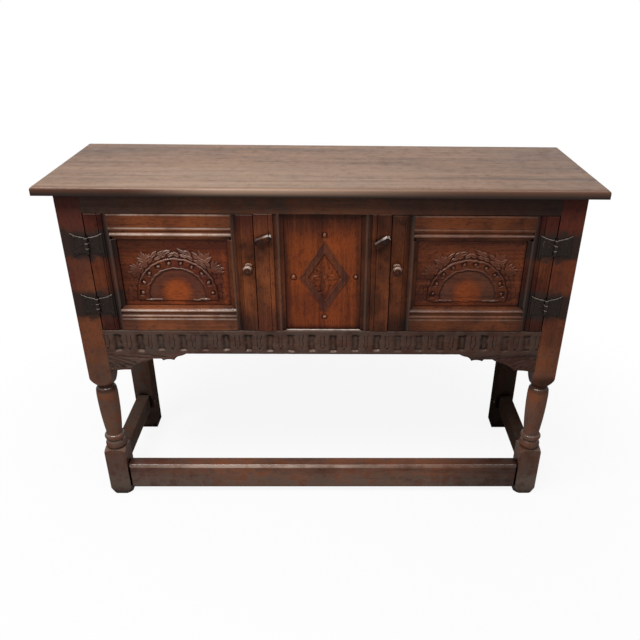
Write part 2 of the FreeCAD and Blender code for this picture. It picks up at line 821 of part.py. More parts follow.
def door_panels():
    """Door panels, each carved with a round-headed arch."""
    opening = (size.stile_width - hinge_edge, -lock_edge - size.stile_width)
    zs = (door_low + size.door_rail_width, door_high - size.door_rail_width)
    centre = middle(opening)
    base = zs[0] + size.arch_base
    spring = base + size.arch_stilt
    body = board_body("left_door_panel", grown(opening, panel_reach), grown(zs, panel_reach))
    place(body, 0, door_panel_face, 0)
    outer, inner = size.arch_outer_radius, size.arch_inner_radius
    arch = [
        (centre - outer, base, None),
        (centre - outer, spring, -outer),
        (centre + outer, spring, None),
        (centre + outer, base, None),
        (centre + inner, base, None),
        (centre + inner, spring, inner),
        (centre - inner, spring, None),
        (centre - inner, base, None),
    ]
    pad(body, "left_door_panel_arch", "XZ", arch, size.relief_height)
    pair("left_door_panel", body)


def door_tenon_zs(edge, way):
    """Height of a door rail's tenon, between its groove and its plain edge."""
    return (edge + size.tenon_shoulder * way, edge + (size.door_rail_width - size.groove_depth) * way)


DOOR_RAILS = {"top": (door_high, -1), "bottom": (door_low, 1)}
door_panel_face = door_face + size.panel_depth + size.panel_fit
door_tenon_ys = (door_panel_face, door_panel_face + size.panel_thickness)


def door_peg(name, x, zs, radius):
    """A blind peg from the back of a door, through a tenon."""
    return rod(name, "y", radius, (x, middle(zs)), (door_back, door_tenon_ys[0] - size.peg_past_tenon))


def door_stiles():
    hole = size.peg_radius + size.peg_fit
    for word, edge, way in (("hinge", -hinge_edge, 1), ("lock", -lock_edge, -1)):
        name = f"left_door_{word}_stile"
        body = new_body(f"{name}_bar")
        corners = moulded_section(size.stile_width, size.stile_flat, size.door_thickness, way, True)
        pad(body, f"{name}_pad", "XY", corners, door_high - door_low)
        place(body, edge, door_face, door_low)
        inner = edge + size.stile_width * way
        shoulder = edge + size.stile_shoulder * way
        end = shoulder - (size.door_tenon + size.tenon_end_gap) * way
        cuts = []
        for rail, (rail_edge, up) in DOOR_RAILS.items():
            zs = door_tenon_zs(rail_edge, up)
            ys, mortise_zs = grown(door_tenon_ys, size.panel_fit), grown(zs, size.tenon_fit)
            rail_zs = (rail_edge, rail_edge + size.door_rail_width * up)
            cuts.append(block(f"{name}_{rail}_notch", (inner, shoulder), (door_face, door_back), rail_zs))
            cuts.append(block(f"{name}_{rail}_mortise", (shoulder, end), ys, mortise_zs))
            cuts.append(door_peg(f"{name}_{rail}_hole", shoulder - size.door_tenon / 2 * way, zs, hole))
        if word == "hinge":
            cuts += nail_holes(name, 1, door_face)
        else:
            radius = size.knob_spigot_radius + size.knob_fit
            depth = door_face + size.knob_spigot_length + size.tenon_end_gap
            cuts.append(rod(f"{name}_knob_hole", "y", radius, (knob_x, knob_height), (door_face, depth)))
        pair(name, carve(name, body, cuts))


knob_x = size.stile_flat / -2 - lock_edge
door_rail_ends = (size.stile_shoulder - hinge_edge, -lock_edge - size.stile_shoulder)


def door_rails():
    hole = size.peg_radius + size.peg_fit
    pegs = []
    left, right = door_rail_ends
    spots = (left - size.door_tenon / 2, right + size.door_tenon / 2)
    for word, (edge, way) in DOOR_RAILS.items():
        name = f"left_door_{word}_rail"
        body = new_body(f"{name}_bar")
        corners = moulded_section(size.door_rail_width, size.door_rail_flat, size.door_thickness, way, False)
        pad(body, f"{name}_pad", "YZ", corners, right - left)
        place(body, left, door_face, edge)
        zs = door_tenon_zs(edge, way)
        tenons = block(f"{name}_tenons", (left - size.door_tenon, right + size.door_tenon), door_tenon_ys, zs)
        holes = [door_peg(f"{name}_hole_{step}", x, zs, hole) for step, x in enumerate(spots)]
        pegs += [door_peg(f"{name}_peg_{step}", x, zs, size.peg_radius) for step, x in enumerate(spots)]
        pair(name, carve(name, join(f"{name}_joined", [body, tenons]), holes))
    mirrored("right_door_pegs", group("left_door_pegs", pegs))


def knobs():
    """Turned oak knobs on spigots, each with a collar against the door."""
    spigot = size.knob_spigot_radius
    corners = [(0, size.knob_spigot_length, None)]
    for radius, distance, swell in KNOB:
        across = size.knob_radius * radius if radius else 0
        reach = size.knob_reach * -distance if distance else 0
        corners.append((across, reach, None if swell is None else size.knob_radius * swell))
    corners += [
        (spigot, 0, None),
        (spigot, size.knob_spigot_length, None),
    ]
    body = turned("left_door_knob", "XY", corners)
    place(body, knob_x, door_face, knob_height)
    pair("left_door_knob", body)


def nail_spots(way):
    """Nails of one side's two hinge leaves: way is -1 on the post and 1 on the door."""
    for hinge, height in hinge_heights.items():
        for step, (along, up) in enumerate(NAIL_SPOTS):
            x = size.leaf_length * along * way - hinge_axis
            yield f"{hinge}_{step}", x, height + size.leaf_end_height * up


def nail_holes(name, way, face):
    radius = size.nail_radius + size.nail_fit
    ends = (face, face + size.nail_length + size.tenon_end_gap)
    return [rod(f"{name}_nail_hole_{spot}", "y", radius, (x, z), ends) for spot, x, z in nail_spots(way)]


def hinge_nails(name, way, face):
    """Wrought nails that hold the hinge leaves."""
    nails = []
    leaf_front = face - size.leaf_thickness
    for spot, x, z in nail_spots(way):
        ends = (leaf_front, face + size.nail_length)
        shank = rod(f"{name}_{spot}_shank", "y", size.nail_radius, (x, z), ends)
        head = doc.addObject("Part::Cone", f"{name}_{spot}_head")
        head.Placement = FreeCAD.Placement(FreeCAD.Vector(), ALONG["y"].inverted())
        bind(head, "Radius1", size.nail_head_radius)
        bind(head, "Radius2", size.nail_head_radius / 2)
        bind(head, "Height", size.nail_head_height)
        place(head, x, leaf_front, z)
        nails.append(join(f"{name}_{spot}", [shank, head]))
    mirrored(name.replace("left", "right"), group(name, nails))


def hinge_leaves(name, way, face, knuckles):
    """Butterfly hinge leaves on the face, each with its share of the knuckles."""
    leaves = []
    start = size.knuckle_radius + size.knuckle_clearance
    waist, wide = size.leaf_waist_height / 2, size.leaf_end_height / 2
    ys = (face - size.leaf_thickness, face)
    hole = size.nail_radius + size.nail_fit
    holes = {spot: (x, z) for spot, x, z in nail_spots(way)}
    for word, height in hinge_heights.items():
        leaf = f"{name}_{word}"
        plate = new_body(f"{leaf}_plate")
        hollow = size.leaf_hollow * -way
        corners = [
            (start * way, -waist, hollow),
            (size.leaf_length * way, -wide, None),
            (size.leaf_length * way, wide, hollow),
            (start * way, waist, None),
        ]
        pad(plate, f"{leaf}_pad", "XZ", corners, size.leaf_thickness)
        place(plate, -hinge_axis, face, height)
        parts = [plate]
        for step, (low, high) in enumerate(knuckles):
            zs = (height + low, height + high)
            centre = (-hinge_axis, hinge_axis_y)
            parts.append(rod(f"{leaf}_knuckle_{step}", "z", size.knuckle_radius, centre, zs))
            tab_xs = (-hinge_axis, (start + size.tab_overlap) * way - hinge_axis)
            parts.append(block(f"{leaf}_tab_{step}", tab_xs, ys, zs))
        zs = (height - waist, height + waist)
        cuts = [rod(f"{leaf}_bore", "z", size.pin_radius + size.pin_fit, (-hinge_axis, hinge_axis_y), zs)]
        for step in range(len(NAIL_SPOTS)):
            cuts.append(rod(f"{leaf}_hole_{step}", "y", hole, holes[f"{word}_{step}"], ys))
        leaves.append(carve(leaf, join(f"{leaf}_joined", parts), cuts))
    mirrored(name.replace("left", "right"), group(name, leaves))


def hinges():
    half, third = size.leaf_waist_height / 2, size.leaf_waist_height / 6
    gap = size.knuckle_gap / 2
    hinge_leaves("left_post_hinge_leaves", -1, front, [(-half, -third - gap), (third + gap, half)])
    hinge_leaves("left_door_hinge_leaves", 1, door_face, [(gap - third, third - gap)])
    hinge_nails("left_post_hinge_nails", -1, front)
    hinge_nails("left_door_hinge_nails", 1, door_face)
    pins = []
    centre = (-hinge_axis, hinge_axis_y)
    for word, height in hinge_heights.items():
        low, high = height - half, height + half
        shank = rod(f"left_{word}_pin_shank", "z", size.pin_radius, centre, (low, high))
        foot_zs = (low - size.pin_head_length, low)
        head_zs = (high, high + size.pin_head_length)
        foot = rod(f"left_{word}_pin_foot", "z", size.pin_head_radius, centre, foot_zs)
        head = rod(f"left_{word}_pin_head", "z", size.pin_head_radius, centre, head_zs)
        pins.append(join(f"left_{word}_pin", [shank, foot, head]))
    mirrored("right_hinge_pins", group("left_hinge_pins", pins))


def turn_button(word, side, tilt):
    """A wooden button that turns on its screw, to hold a door shut."""
    half = size.button_half_width
    tip, heel = size.button_long_end - half, size.button_short_end - half
    corners = [(-heel, -half, None), (tip, -half, half), (tip, half, None), (-heel, half, half)]
    slab = new_body(f"{word}_turn_button_slab")
    pad(slab, f"{word}_turn_button_pad", "XZ", corners, size.button_thickness)
    radius = size.button_screw_radius + size.button_screw_fit
    hole = rod(f"{word}_turn_button_hole", "y", radius, (0, 0), (-size.button_thickness, 0))
    button = carve(f"{word}_turn_button", slab, [hole])
    button.Placement = FreeCAD.Placement(FreeCAD.Vector(), FreeCAD.Rotation(FreeCAD.Vector(0, -1, 0), 1))
    bind(button, "Placement.Rotation.Angle", tilt)
    place(button, size.button_pivot_across * side, front - size.button_clearance, button_height)
    piece(button, f"{word}_turn_button")
    centre = (size.button_pivot_across * side, button_height)
    head_back = front - size.button_clearance * 2 - size.button_thickness
    end = front + size.button_screw_length - size.tenon_end_gap
    shank = rod(f"{word}_screw_shank", "y", size.button_screw_radius, centre, (head_back, end))
    head_ends = (head_back - size.button_head_height, head_back)
    head = rod(f"{word}_screw_head", "y", size.button_head_radius, centre, head_ends)
    name = f"{word}_turn_button_screw"
    piece(join(name, [shank, head]), name)


def top_boards():
    """Three edge-jointed boards with a rounded edge at the front and both ends."""
    front_joint = size.top_front_board - half_depth
    rear_joint = half_depth - size.top_rear_board
    boards = {
        "top_front_board": (-half_depth, front_joint),
        "top_middle_board": (front_joint, rear_joint),
        "top_rear_board": (rear_joint, half_depth),
    }
    for name, (near, far) in boards.items():
        body = new_body(name)
        outline = rectangle((-half_length, half_length), (near, far))
        slab = pad(body, f"{name}_slab", "XY", outline, size.top_thickness)
        doc.recompute()
        rounded = []
        for index, edge in enumerate(slab.Shape.Edges, start=1):
            spot = edge.CenterOfMass
            high = abs(spot.z - size.top_thickness.number) < SAME_PLACE
            at_end = abs(abs(spot.x) - half_length.number) < SAME_PLACE
            at_front = abs(spot.y + half_depth.number) < SAME_PLACE
            if high and (at_end or at_front):
                rounded.append(f"Edge{index}")
        edge_round = body.newObject("PartDesign::Fillet", f"{name}_round")
        edge_round.Base = (slab, rounded)
        bind(edge_round, "Radius", size.top_edge_round)
        place(body, 0, 0, top_under)
        piece(body, name)


def boards_across(name, count, ends, ys, zs):
    """Boards side by side between two ends, with a small gap at each joint."""
    left, right = ends
    pitch = (right - left) / count
    boards = []
    for step in range(count):
        xs = (left + pitch * step + size.board_gap / 2, left + pitch * (step + 1) - size.board_gap / 2)
        boards.append(block(f"{name}_{step}", xs, ys, zs))
    return boards


def back_boards():
    ys, zs = (back_rail_back, back), (back_bottom_zs[0], top_under)
    group("back_boards", boards_across("back_board", BACK_BOARDS, (-leg_inner, leg_inner), ys, zs))


def cupboard_floor():
    """Floor boards from front to back on two bearers; the end boards are notched round the legs."""
    zs = (frieze_top - size.floor_thickness, frieze_top)
    ends = (-side_rail_inner, side_rail_inner)
    boards = boards_across("floor_board", FLOOR_BOARDS, ends, (rail_back, back_rail_front), zs)
    for side, spot in ((LEFT, 0), (RIGHT, -1)):
        xs = ((leg_inner - size.board_gap) * side, leg_outer * side)
        notches = [
            block(f"floor_front_notch_{side + 1}", xs, (front, front_leg_back + size.board_gap), zs),
            block(f"floor_rear_notch_{side + 1}", xs, (rear_leg_front - size.board_gap, back), zs),
        ]
        boards[spot] = carve(f"floor_end_board_{side + 1}", boards[spot], notches)
    group("floor_boards", boards)
    xs, zs = (-leg_inner, leg_inner), (zs[0] - size.bearer_size, zs[0])
    bearers = [
        block("front_bearer", xs, (rail_back, rail_back + size.bearer_size), zs),
        block("rear_bearer", xs, (back_rail_front - size.bearer_size, back_rail_front), zs),
    ]
    group("floor_bearers", bearers)


def door_stops():
    """Blocks behind the top rail that the doors shut against."""
    stops = []
    for side in (LEFT, RIGHT):
        near = lock_edge + size.stile_width
        xs = (near * side, (near + size.stop_length) * side)
        ys = (rail_back, rail_back + size.stop_thickness)
        stops.append(block(f"door_stop_{side + 1}", xs, ys, (top_rail_low - size.stop_overlap, top_under)))
    group("door_stops", stops)


def glue_blocks():
    """Blocks that hold the top to the rails from below."""
    half = size.glue_block_length / 2
    zs = (top_under - size.glue_block_size, top_under)
    blocks = []
    for step, share in enumerate(GLUE_BLOCK_SPOTS):
        xs = (leg_inner * share - half, leg_inner * share + half)
        front_ys = (rail_back, rail_back + size.glue_block_size)
        rear_ys = (back_rail_front - size.glue_block_size, back_rail_front)
        blocks.append(block(f"front_glue_block_{step}", xs, front_ys, zs))
        blocks.append(block(f"rear_glue_block_{step}", xs, rear_ys, zs))
    for side in (LEFT, RIGHT):
        xs = (side_rail_inner * side, (side_rail_inner - size.glue_block_size) * side)
        blocks.append(block(f"side_glue_block_{side + 1}", xs, (-half, half), zs))
    group("glue_blocks", blocks)


def write_parts():
    """Checks every object and writes each sub-part to its own file."""
    doc.recompute()
    for item in doc.Objects:
        if "Invalid" in item.State or "Error" in item.State:
            raise RuntimeError(f"{item.Name} failed: {item.State}")
    os.makedirs("parts", exist_ok=True)
    for item in pieces:
        if item.Shape.isNull() or not item.Shape.isValid():
            raise RuntimeError(f"{item.Label} has no valid shape")
        item.Shape.exportStep(f"parts/{item.Label}.step")
        print(item.Label, len(item.Shape.Solids), round(item.Shape.Volume), item.Shape.BoundBox)


top_boards()
front_legs()
rear_legs()
front_rails()
side_and_back_rails()
stretchers()
frame_pegs()
side_panels()
muntins()
centre_panel()
door_stiles()
door_rails()
door_panels()
knobs()
hinges()
turn_button("left", LEFT, size.left_button_tilt)
turn_button("right", RIGHT, size.right_button_tilt)
back_boards()
cupboard_floor()
door_stops()
glue_blocks()
write_parts()
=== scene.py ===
"""Looks of a joined oak kitchen dresser: carved panels, worn waxed oak and black iron."""
import json
import math
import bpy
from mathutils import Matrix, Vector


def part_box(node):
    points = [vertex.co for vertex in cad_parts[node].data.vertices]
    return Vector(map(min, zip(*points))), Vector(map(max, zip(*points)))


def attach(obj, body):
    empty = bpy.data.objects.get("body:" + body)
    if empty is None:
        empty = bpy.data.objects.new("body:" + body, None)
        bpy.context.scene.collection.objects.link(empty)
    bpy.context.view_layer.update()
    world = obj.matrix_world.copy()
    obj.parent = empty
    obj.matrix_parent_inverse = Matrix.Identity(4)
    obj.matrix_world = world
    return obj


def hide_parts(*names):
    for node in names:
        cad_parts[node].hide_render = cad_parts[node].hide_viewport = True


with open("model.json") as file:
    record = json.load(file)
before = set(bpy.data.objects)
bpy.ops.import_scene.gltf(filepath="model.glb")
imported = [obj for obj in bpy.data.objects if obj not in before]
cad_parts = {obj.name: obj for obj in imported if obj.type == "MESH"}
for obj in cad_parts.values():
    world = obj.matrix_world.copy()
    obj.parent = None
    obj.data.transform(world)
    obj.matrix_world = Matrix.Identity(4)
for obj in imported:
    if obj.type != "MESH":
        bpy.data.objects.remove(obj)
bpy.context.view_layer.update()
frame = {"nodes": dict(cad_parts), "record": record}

import zlib
from functools import partial, reduce
from types import SimpleNamespace

import bpy
import numpy as np
from mathutils import Matrix, Vector

MM = 0.001
nodes = frame["nodes"]
scene = bpy.context.scene

# Camera, from a fit of the photograph; pixels are those of its 640 x 640 frame
IMAGE_SIZE = 640
FOCAL_PIXELS = 684.25
CENTRE_PIXEL = (344.3, 350.0)
SENSOR_WIDTH = 36.0
CAMERA_PLACE = (0.0234, -1.6094, 1.2574)
CAMERA_PITCH = 0.5119
CAMERA_YAW = -0.019
CAMERA_ROLL = 0.0124

# Oak finishes, in linear colour: the grain from dark to light, the warm glow of a polished
# middle, red patches, edges painted light by wear and painted highlight, the grime and painted
# shade of the crevices, and the wax
LOOKS = {
    "top_oak": SimpleNamespace(
        dark=(0.066, 0.03, 0.015), mid=(0.158, 0.076, 0.037), light=(0.225, 0.118, 0.062), spread=0.12,
        glow=(0.245, 0.12, 0.058), glow_share=0.6, red=(0.12, 0.046, 0.025), red_share=0.35,
        worn=(0.36, 0.24, 0.17), wear_and_highlight_share=0.15, crevice=(0.12, 0.09, 0.08),
        roughness=0.42, gloss=0.14, coat=0.1, polish=0.3, coat_roughness=0.24,
    ),
    "frame_oak": SimpleNamespace(
        dark=(0.012, 0.005, 0.004), mid=(0.048, 0.016, 0.009), light=(0.105, 0.035, 0.016), spread=0.15,
        glow=(0.205, 0.056, 0.018), glow_share=0.85, red=(0.068, 0.012, 0.008), red_share=0.55,
        worn=(0.46, 0.33, 0.26), wear_and_highlight_share=0.85, crevice=(0.05, 0.035, 0.03),
        roughness=0.45, gloss=0.0, coat=0.12, polish=0.8, coat_roughness=0.16,
    ),
    "carved_oak": SimpleNamespace(
        dark=(0.022, 0.007, 0.005), mid=(0.075, 0.02, 0.009), light=(0.13, 0.036, 0.014), spread=0.15,
        glow=(0.275, 0.058, 0.013), glow_share=0.95, red=(0.085, 0.015, 0.01), red_share=0.45,
        worn=(0.42, 0.3, 0.24), wear_and_highlight_share=0.7, crevice=(0.24, 0.18, 0.16),
        roughness=0.45, gloss=0.0, coat=0.12, polish=0.75, coat_roughness=0.16,
    ),
    "inside_oak": SimpleNamespace(
        dark=(0.07, 0.038, 0.022), mid=(0.145, 0.085, 0.05), light=(0.215, 0.135, 0.084), spread=0.15,
        glow=(0.23, 0.13, 0.07), glow_share=0.35, red=(0.11, 0.055, 0.032), red_share=0.2,
        worn=(0.28, 0.19, 0.13), wear_and_highlight_share=0.2, crevice=(0.16, 0.13, 0.11),
        roughness=0.72, gloss=0.2, coat=0.0, polish=0.0, coat_roughness=0.5,
    ),
}
# How far the grain and the pores are drawn out along the wood
GRAIN_STRETCH = 0.045
PORE_STRETCH = 0.1
# How far a piece's tone may be from its table value, and its patterns from those of others
TONE_SPREAD = 0.08
PATTERN_SHIFT = 40

# Colours laid over the wood: dust, stains round the hinges, a painted highlight, a painted sheen on the
# top
DUST = (0.118, 0.083, 0.066)
IRON_STAIN = (0.027, 0.017, 0.014)
HIGHLIGHT_PAINT = (0.8, 0.68, 0.6)
SHEEN_PAINT = (0.405, 0.315, 0.235)
# Colours that darken the wood: in pores, and painted shade under ledges, in bands, along spans and in
# mouldings
PORE_SHADE = (0.42, 0.38, 0.36)
SHELTER_SHADE = (0.35, 0.3, 0.28)
BAND_SHADE = (0.4, 0.4, 0.42)
DIM_SHADE = (0.5, 0.46, 0.47)
MOULDING_SHADE = (0.45, 0.42, 0.44)
# How much brighter the red of the posts and hinge stiles is
POST_RED = 1.4
# How far round a point crevices, sheltered places and edges are looked for, in metres
CREVICE_REACH = 0.03
SHELTER_REACH = 0.12
EDGE_REACH = 0.003

# In each table below, the first word that a piece's name holds gives its value

# How light a piece is against its look; the lower values of the front top rail and of the right-hand and
# rear pieces paint the shade that falls there
TONES = {
    "front_top_rail": 0.7, "left_door_top_rail": 1.2, "left_door_bottom_rail": 1.15,
    "right_door_top_rail": 0.84, "right_door_bottom_rail": 0.8, "hinge_stile": 0.75,
    "left_door_lock_stile": 1.08, "right_door_lock_stile": 0.76, "left_muntin": 1.1,
    "right_muntin": 0.85, "frieze_rail": 0.95, "front_stretcher": 1.25, "left_stretcher": 0.75,
    "right_stretcher": 0.4, "rear_left_leg": 0.62, "rear_right_leg": 0.3,
    "front_right_leg": 0.93, "leg": 0.9, "button": 0.4, "knob": 0.8,
}
# How dusty a piece is near the floor
DUSTY = {
    "front_stretcher": 0.6, "left_stretcher": 0.6, "right_stretcher": 0.15,
    "rear_left_leg": 0.4, "rear_right_leg": 0.0, "leg": 0.85,
}
# How grey a piece has gone all over
GREYED = {
    "front_top_rail": 0.36, "rear_left_leg": 0.7, "rear_right_leg": 0.95,
    "left_stretcher": 0.6, "right_stretcher": 0.9, "front_left_leg": 0.14,
    "front_right_leg": 0.05, "door_bottom_rail": 0.08,
}
# How strongly a piece's upper edges are painted light, by wear and painted highlight
WEAR_AND_HIGHLIGHT = {
    "door_top_rail": 1.0, "door_bottom_rail": 1.0, "front_stretcher": 1.7, "stretcher": 0.1,
    "leg": 0.18, "frieze_rail": 0.1, "button": 1.0, "knob": 1.0, "panel": 0.35,
}
# How much of its wax a piece has kept
WAXED = {
    "rear_left_leg": 0.0, "rear_right_leg": 0.0, "left_stretcher": 0.2,
    "right_stretcher": 0.0, "leg": 0.75,
}
# Height and half height, in metres, of a band of painted shade round a piece, and how dark it is
SHADE_BANDS = {
    "front_left_leg": (0.333, 0.018, 1.0), "front_right_leg": (0.348, 0.036, 1.0),
    "muntin": (0.7, 0.036, 0.45), "right_door_lock_stile": (0.705, 0.05, 0.55),
    "lock_stile": (0.7, 0.036, 0.35),
}
# Height and half height, in metres, of the painted highlight in the glow colour on the front of a turned
# leg's shoulder
SHOULDER_HIGHLIGHTS = {"front_left_leg": (0.309, 0.014), "front_right_leg": (0.309, 0.014)}
# Heights and half widths, in metres, of the painted highlight lines on a rail's mouldings and the front
# stretcher's arris
HIGHLIGHT_LINES = {
    "door_top_rail": ((0.782, 0.003), (0.7515, 0.003), (0.7368, 0.0048)),
    "door_bottom_rail": ((0.5298, 0.003), (0.5382, 0.0024), (0.5508, 0.003)),
    "front_stretcher": ((0.088, 0.006),),
}
# Middle and half width, in metres across the front, of the mouldings round a panel that take painted
# shade with grime
MOULDED = {"stile": (0.336, 0.154), "muntin": (0.0, 0.112)}
# Place across the front and half width, in metres, of the painted highlight along the round of an
# upright moulding
UPRIGHT_HIGHLIGHTS = {
    "lock_stile": (0.201, 0.0065), "hinge_stile": (0.4715, 0.006), "muntin": (0.099, 0.006),
}
UPRIGHT_HIGHLIGHT_SHARE = 0.075
# Along which axis, from where to where, in metres, and by what share painted shade darkens a piece
PAINTED_SHADE_SPANS = {
    "front_stretcher": ("X", 0.24, 0.5, 0.9), "front_top_rail": ("X", 0.05, 0.42, 0.9),
    "left_door_panel": ("X", -0.34, -0.48, 0.6), "right_muntin": ("Z", 0.63, 0.71, 0.5),
    "frieze_rail": ("X", -0.12, 0.35, 0.5),
}
# Which way the grain of an oak piece runs
GRAIN_WORDS = {
    "side_panel": "z", "side_top_rail": "y", "side_bottom_rail": "y", "left_stretcher": "y",
    "right_stretcher": "y", "knob": "y", "pegs": "y", "floor_boards": "y", "back_boards": "z",
    "door_stops": "z", "stile": "z", "muntin": "z", "leg": "z", "centre_panel": "z",
}
# How wide the worn edges of a piece are, in millimetres
EDGE_WIDTHS = {
    "door_top_rail": 1.1, "top_": 1.2, "leg": 1.6, "front_stretcher": 11.0, "stretcher": 4.0,
    "leaves": 0.8, "knob": 0.4, "button": 2.0, "nails": 0.2, "pins": 0.2, "screw": 0.3,
    "pegs": 0.3, "stile": 0.7, "muntin": 0.7, "door_": 0.7,
}
# Pieces that the iron of the hinges has stained
STAINED = ("front_left_leg", "front_right_leg", "hinge_stile")


def by_word(name, table, otherwise=None):
    """The table's value for the first word that the name holds."""
    return next((value for word, value in table.items() if word in name), otherwise)


def seed_of(name):
    """Random draws that a name gets again in each run."""
    return np.random.RandomState(zlib.crc32(name.encode()) % 2**31)


# Shader nodes

def add(tree, kind, sockets=None, **settings):
    """A shader node with its settings, and values or links on its inputs."""
    made = tree.nodes.new(f"ShaderNode{kind}")
    for name, value in settings.items():
        setattr(made, name, value)
    for name, value in (sockets or {}).items():
        if isinstance(value, bpy.types.NodeSocket):
            tree.links.new(value, made.inputs[name])
        else:
            made.inputs[name].default_value = value
    return made


def noise(vector, scale, detail, roughness=0.55, distortion=0.0):
    sockets = {"Vector": vector, "Scale": scale, "Detail": detail}
    sockets |= {"Roughness": roughness, "Distortion": distortion}
    return add(vector.id_data, "TexNoise", sockets).outputs["Fac"]


def fade(value, start, end, low=0.0, high=1.0):
    """A smooth step from low to high as the value goes from start to end."""
    sockets = {"Value": value, "From Min": start, "From Max": end, "To Min": low, "To Max": high}
    return add(value.id_data, "MapRange", sockets, interpolation_type="SMOOTHSTEP").outputs[0]


def maths(operation, first, second):
    """A calculation with two values, at least one of them a socket."""
    socket = first if isinstance(first, bpy.types.NodeSocket) else second
    return add(socket.id_data, "Math", {0: first, 1: second}, operation=operation).outputs[0]


plus = partial(maths, "ADD")
less = partial(maths, "SUBTRACT")
larger = partial(maths, "MAXIMUM")


def times(*factors):
    """All the factors multiplied."""
    return reduce(partial(maths, "MULTIPLY"), factors)


def apart(value, middle):
    """How far a value is from a middle."""
    return maths("ABSOLUTE", less(value, middle), 0.0)


def blended(factor, first, second, kind="MIX"):
    """Two colours mixed by a factor."""
    sockets = {0: factor, 6: first, 7: second}
    return add(factor.id_data, "Mix", sockets, data_type="RGBA", blend_type=kind).outputs[2]


def shaded(factor, colour, shade):
    """A colour multiplied by a shade, as far as the factor says."""
    return blended(factor, colour, solid(shade), "MULTIPLY")


def solid(colour, tone=1.0):
    return tuple(min(1.0, part * tone) for part in colour) + (1.0,)


def coordinates(tree, kind):
    return add(tree, "TexCoord").outputs[kind]


def parts_of(vector):
    """The outputs X, Y and Z of a vector."""
    return add(vector.id_data, "SeparateXYZ", {0: vector}).outputs


def attribute(tree, name):
    return add(tree, "Attribute", attribute_name=name).outputs["Fac"]


def new_material(name):
    material = bpy.data.materials.new(name)
    material.use_nodes = True
    material.node_tree.nodes.clear()
    return material, material.node_tree


def finish_material(tree, sockets):
    shader = add(tree, "BsdfPrincipled", sockets)
    add(tree, "OutputMaterial", {"Surface": shader.outputs[0]})


def bumped(height, strength, distance):
    sockets = {"Height": height, "Strength": strength, "Distance": distance}
    return add(height.id_data, "Bump", sockets).outputs[0]


def normal_rise(tree):
    """The upward part of the surface's normal."""
    return parts_of(add(tree, "NewGeometry").outputs["Normal"])["Z"]


def upward(tree, start, end):
    """1 where the surface faces up."""
    return fade(normal_rise(tree), start, end)


def upper_edge(tree):
    """1 beside an edge that turns up, and 0 on the flat."""
    rounded = add(tree, "Bevel", {"Radius": EDGE_REACH}, samples=6).outputs[0]
    tilt = less(parts_of(rounded)["Z"], normal_rise(tree))
    return fade(tilt, 0.08, 0.4)


def bands_along(value, lines):
    """1 along each of the lines, given by their middle and half width."""
    marked = 0.0
    for middle, half in lines:
        marked = larger(fade(apart(value, middle), half, 0.3 * half), marked)
    return marked


def openness(tree, distance, dark, clear):
    """0 in a crevice and 1 in the open."""
    shade = add(tree, "AmbientOcclusion", {"Distance": distance}, samples=8).outputs["AO"]
    return fade(shade, dark, clear)


# Oak

def oak_patterns(tree, name, look, grain, carved):
    """What one oak finish is made from: tone, places in metres, patterns and slopes."""
    chance = seed_of(name)
    tone = by_word(name, TONES, 1.0) * (1 + TONE_SPREAD * chance.uniform(-1, 1))
    shift = tuple(chance.uniform(-PATTERN_SHIFT, PATTERN_SHIFT, 3))
    place = coordinates(tree, "Object")
    parts = parts_of(place)
    along = "xyz".index(grain)

    def drawn_out(stretch):
        scale = tuple(stretch if axis == along else 1 for axis in range(3))
        sockets = {"Vector": place, "Location": shift, "Scale": scale}
        return add(tree, "Mapping", sockets).outputs[0]

    even, flow, fibre = drawn_out(1), drawn_out(GRAIN_STRETCH), drawn_out(PORE_STRETCH)
    bands = noise(flow, scale=24, detail=4, roughness=0.55, distortion=0.7)
    streaks = noise(flow, scale=170, detail=4, roughness=0.62)
    return SimpleNamespace(
        tree=tree, name=name, look=look, carved=carved, tone=tone,
        along=along, parts=parts, x=parts["X"], y=parts["Y"], z=parts["Z"],
        bands=bands, streaks=streaks, figure=plus(times(bands, 0.55), times(streaks, 0.45)),
        pores=fade(noise(fibre, scale=900, detail=1), 0.57, 0.68),
        patches=noise(even, scale=9, detail=3),
        stains=noise(even, scale=42, detail=4, roughness=0.6),
        swells=noise(even, scale=26, detail=1),
        reds=noise(even, scale=5, detail=2),
        facing_up=upward(tree, 0.05, 0.6),
        sloped=times(upward(tree, 0.42, 0.75), less(1.0, upward(tree, 0.95, 0.995))),
        front=fade(parts["Y"], -0.153, -0.158),
    )


def grain_colour(wood):
    """The grain from dark to light."""
    look = wood.look
    ramp = add(wood.tree, "ValToRGB", {"Fac": wood.figure})
    stops = ramp.color_ramp.elements
    stops[0].position = 0.5 - look.spread
    stops[0].color = solid(look.dark, wood.tone)
    stops[1].position = 0.5 + look.spread
    stops[1].color = solid(look.light, wood.tone)
    stops.new(0.5).color = solid(look.mid, wood.tone)
    return ramp.outputs[0]


def polished_middle(wood):
    """1 in the polished middle of a piece and 0 towards its ends, with an uneven border."""
    if wood.carved:
        mottle = plus(times(wood.stains, 0.5), times(wood.patches, 0.7))
        # A carving's glow attribute also carries painted shade round its panel's border
        return plus(attribute(wood.tree, "glow"), less(mottle, 0.6))
    away = apart(parts_of(coordinates(wood.tree, "Generated"))[wood.along], 0.5)
    away = plus(away, times(less(wood.patches, 0.5), 0.25))
    return fade(away, 0.5, 0.22)


def warmth_of(wood, inner):
    """How far the warm glow of the polished middle covers the grain."""
    share = wood.look.glow_share
    if wood.carved:
        warmth = fade(inner, 0.0, 1.0, high=share)
    else:
        warmth = times(fade(wood.patches, 0.3, 0.62, low=0.15, high=share), inner)
    return times(warmth, fade(wood.figure, 0.34, 0.52, low=0.45))


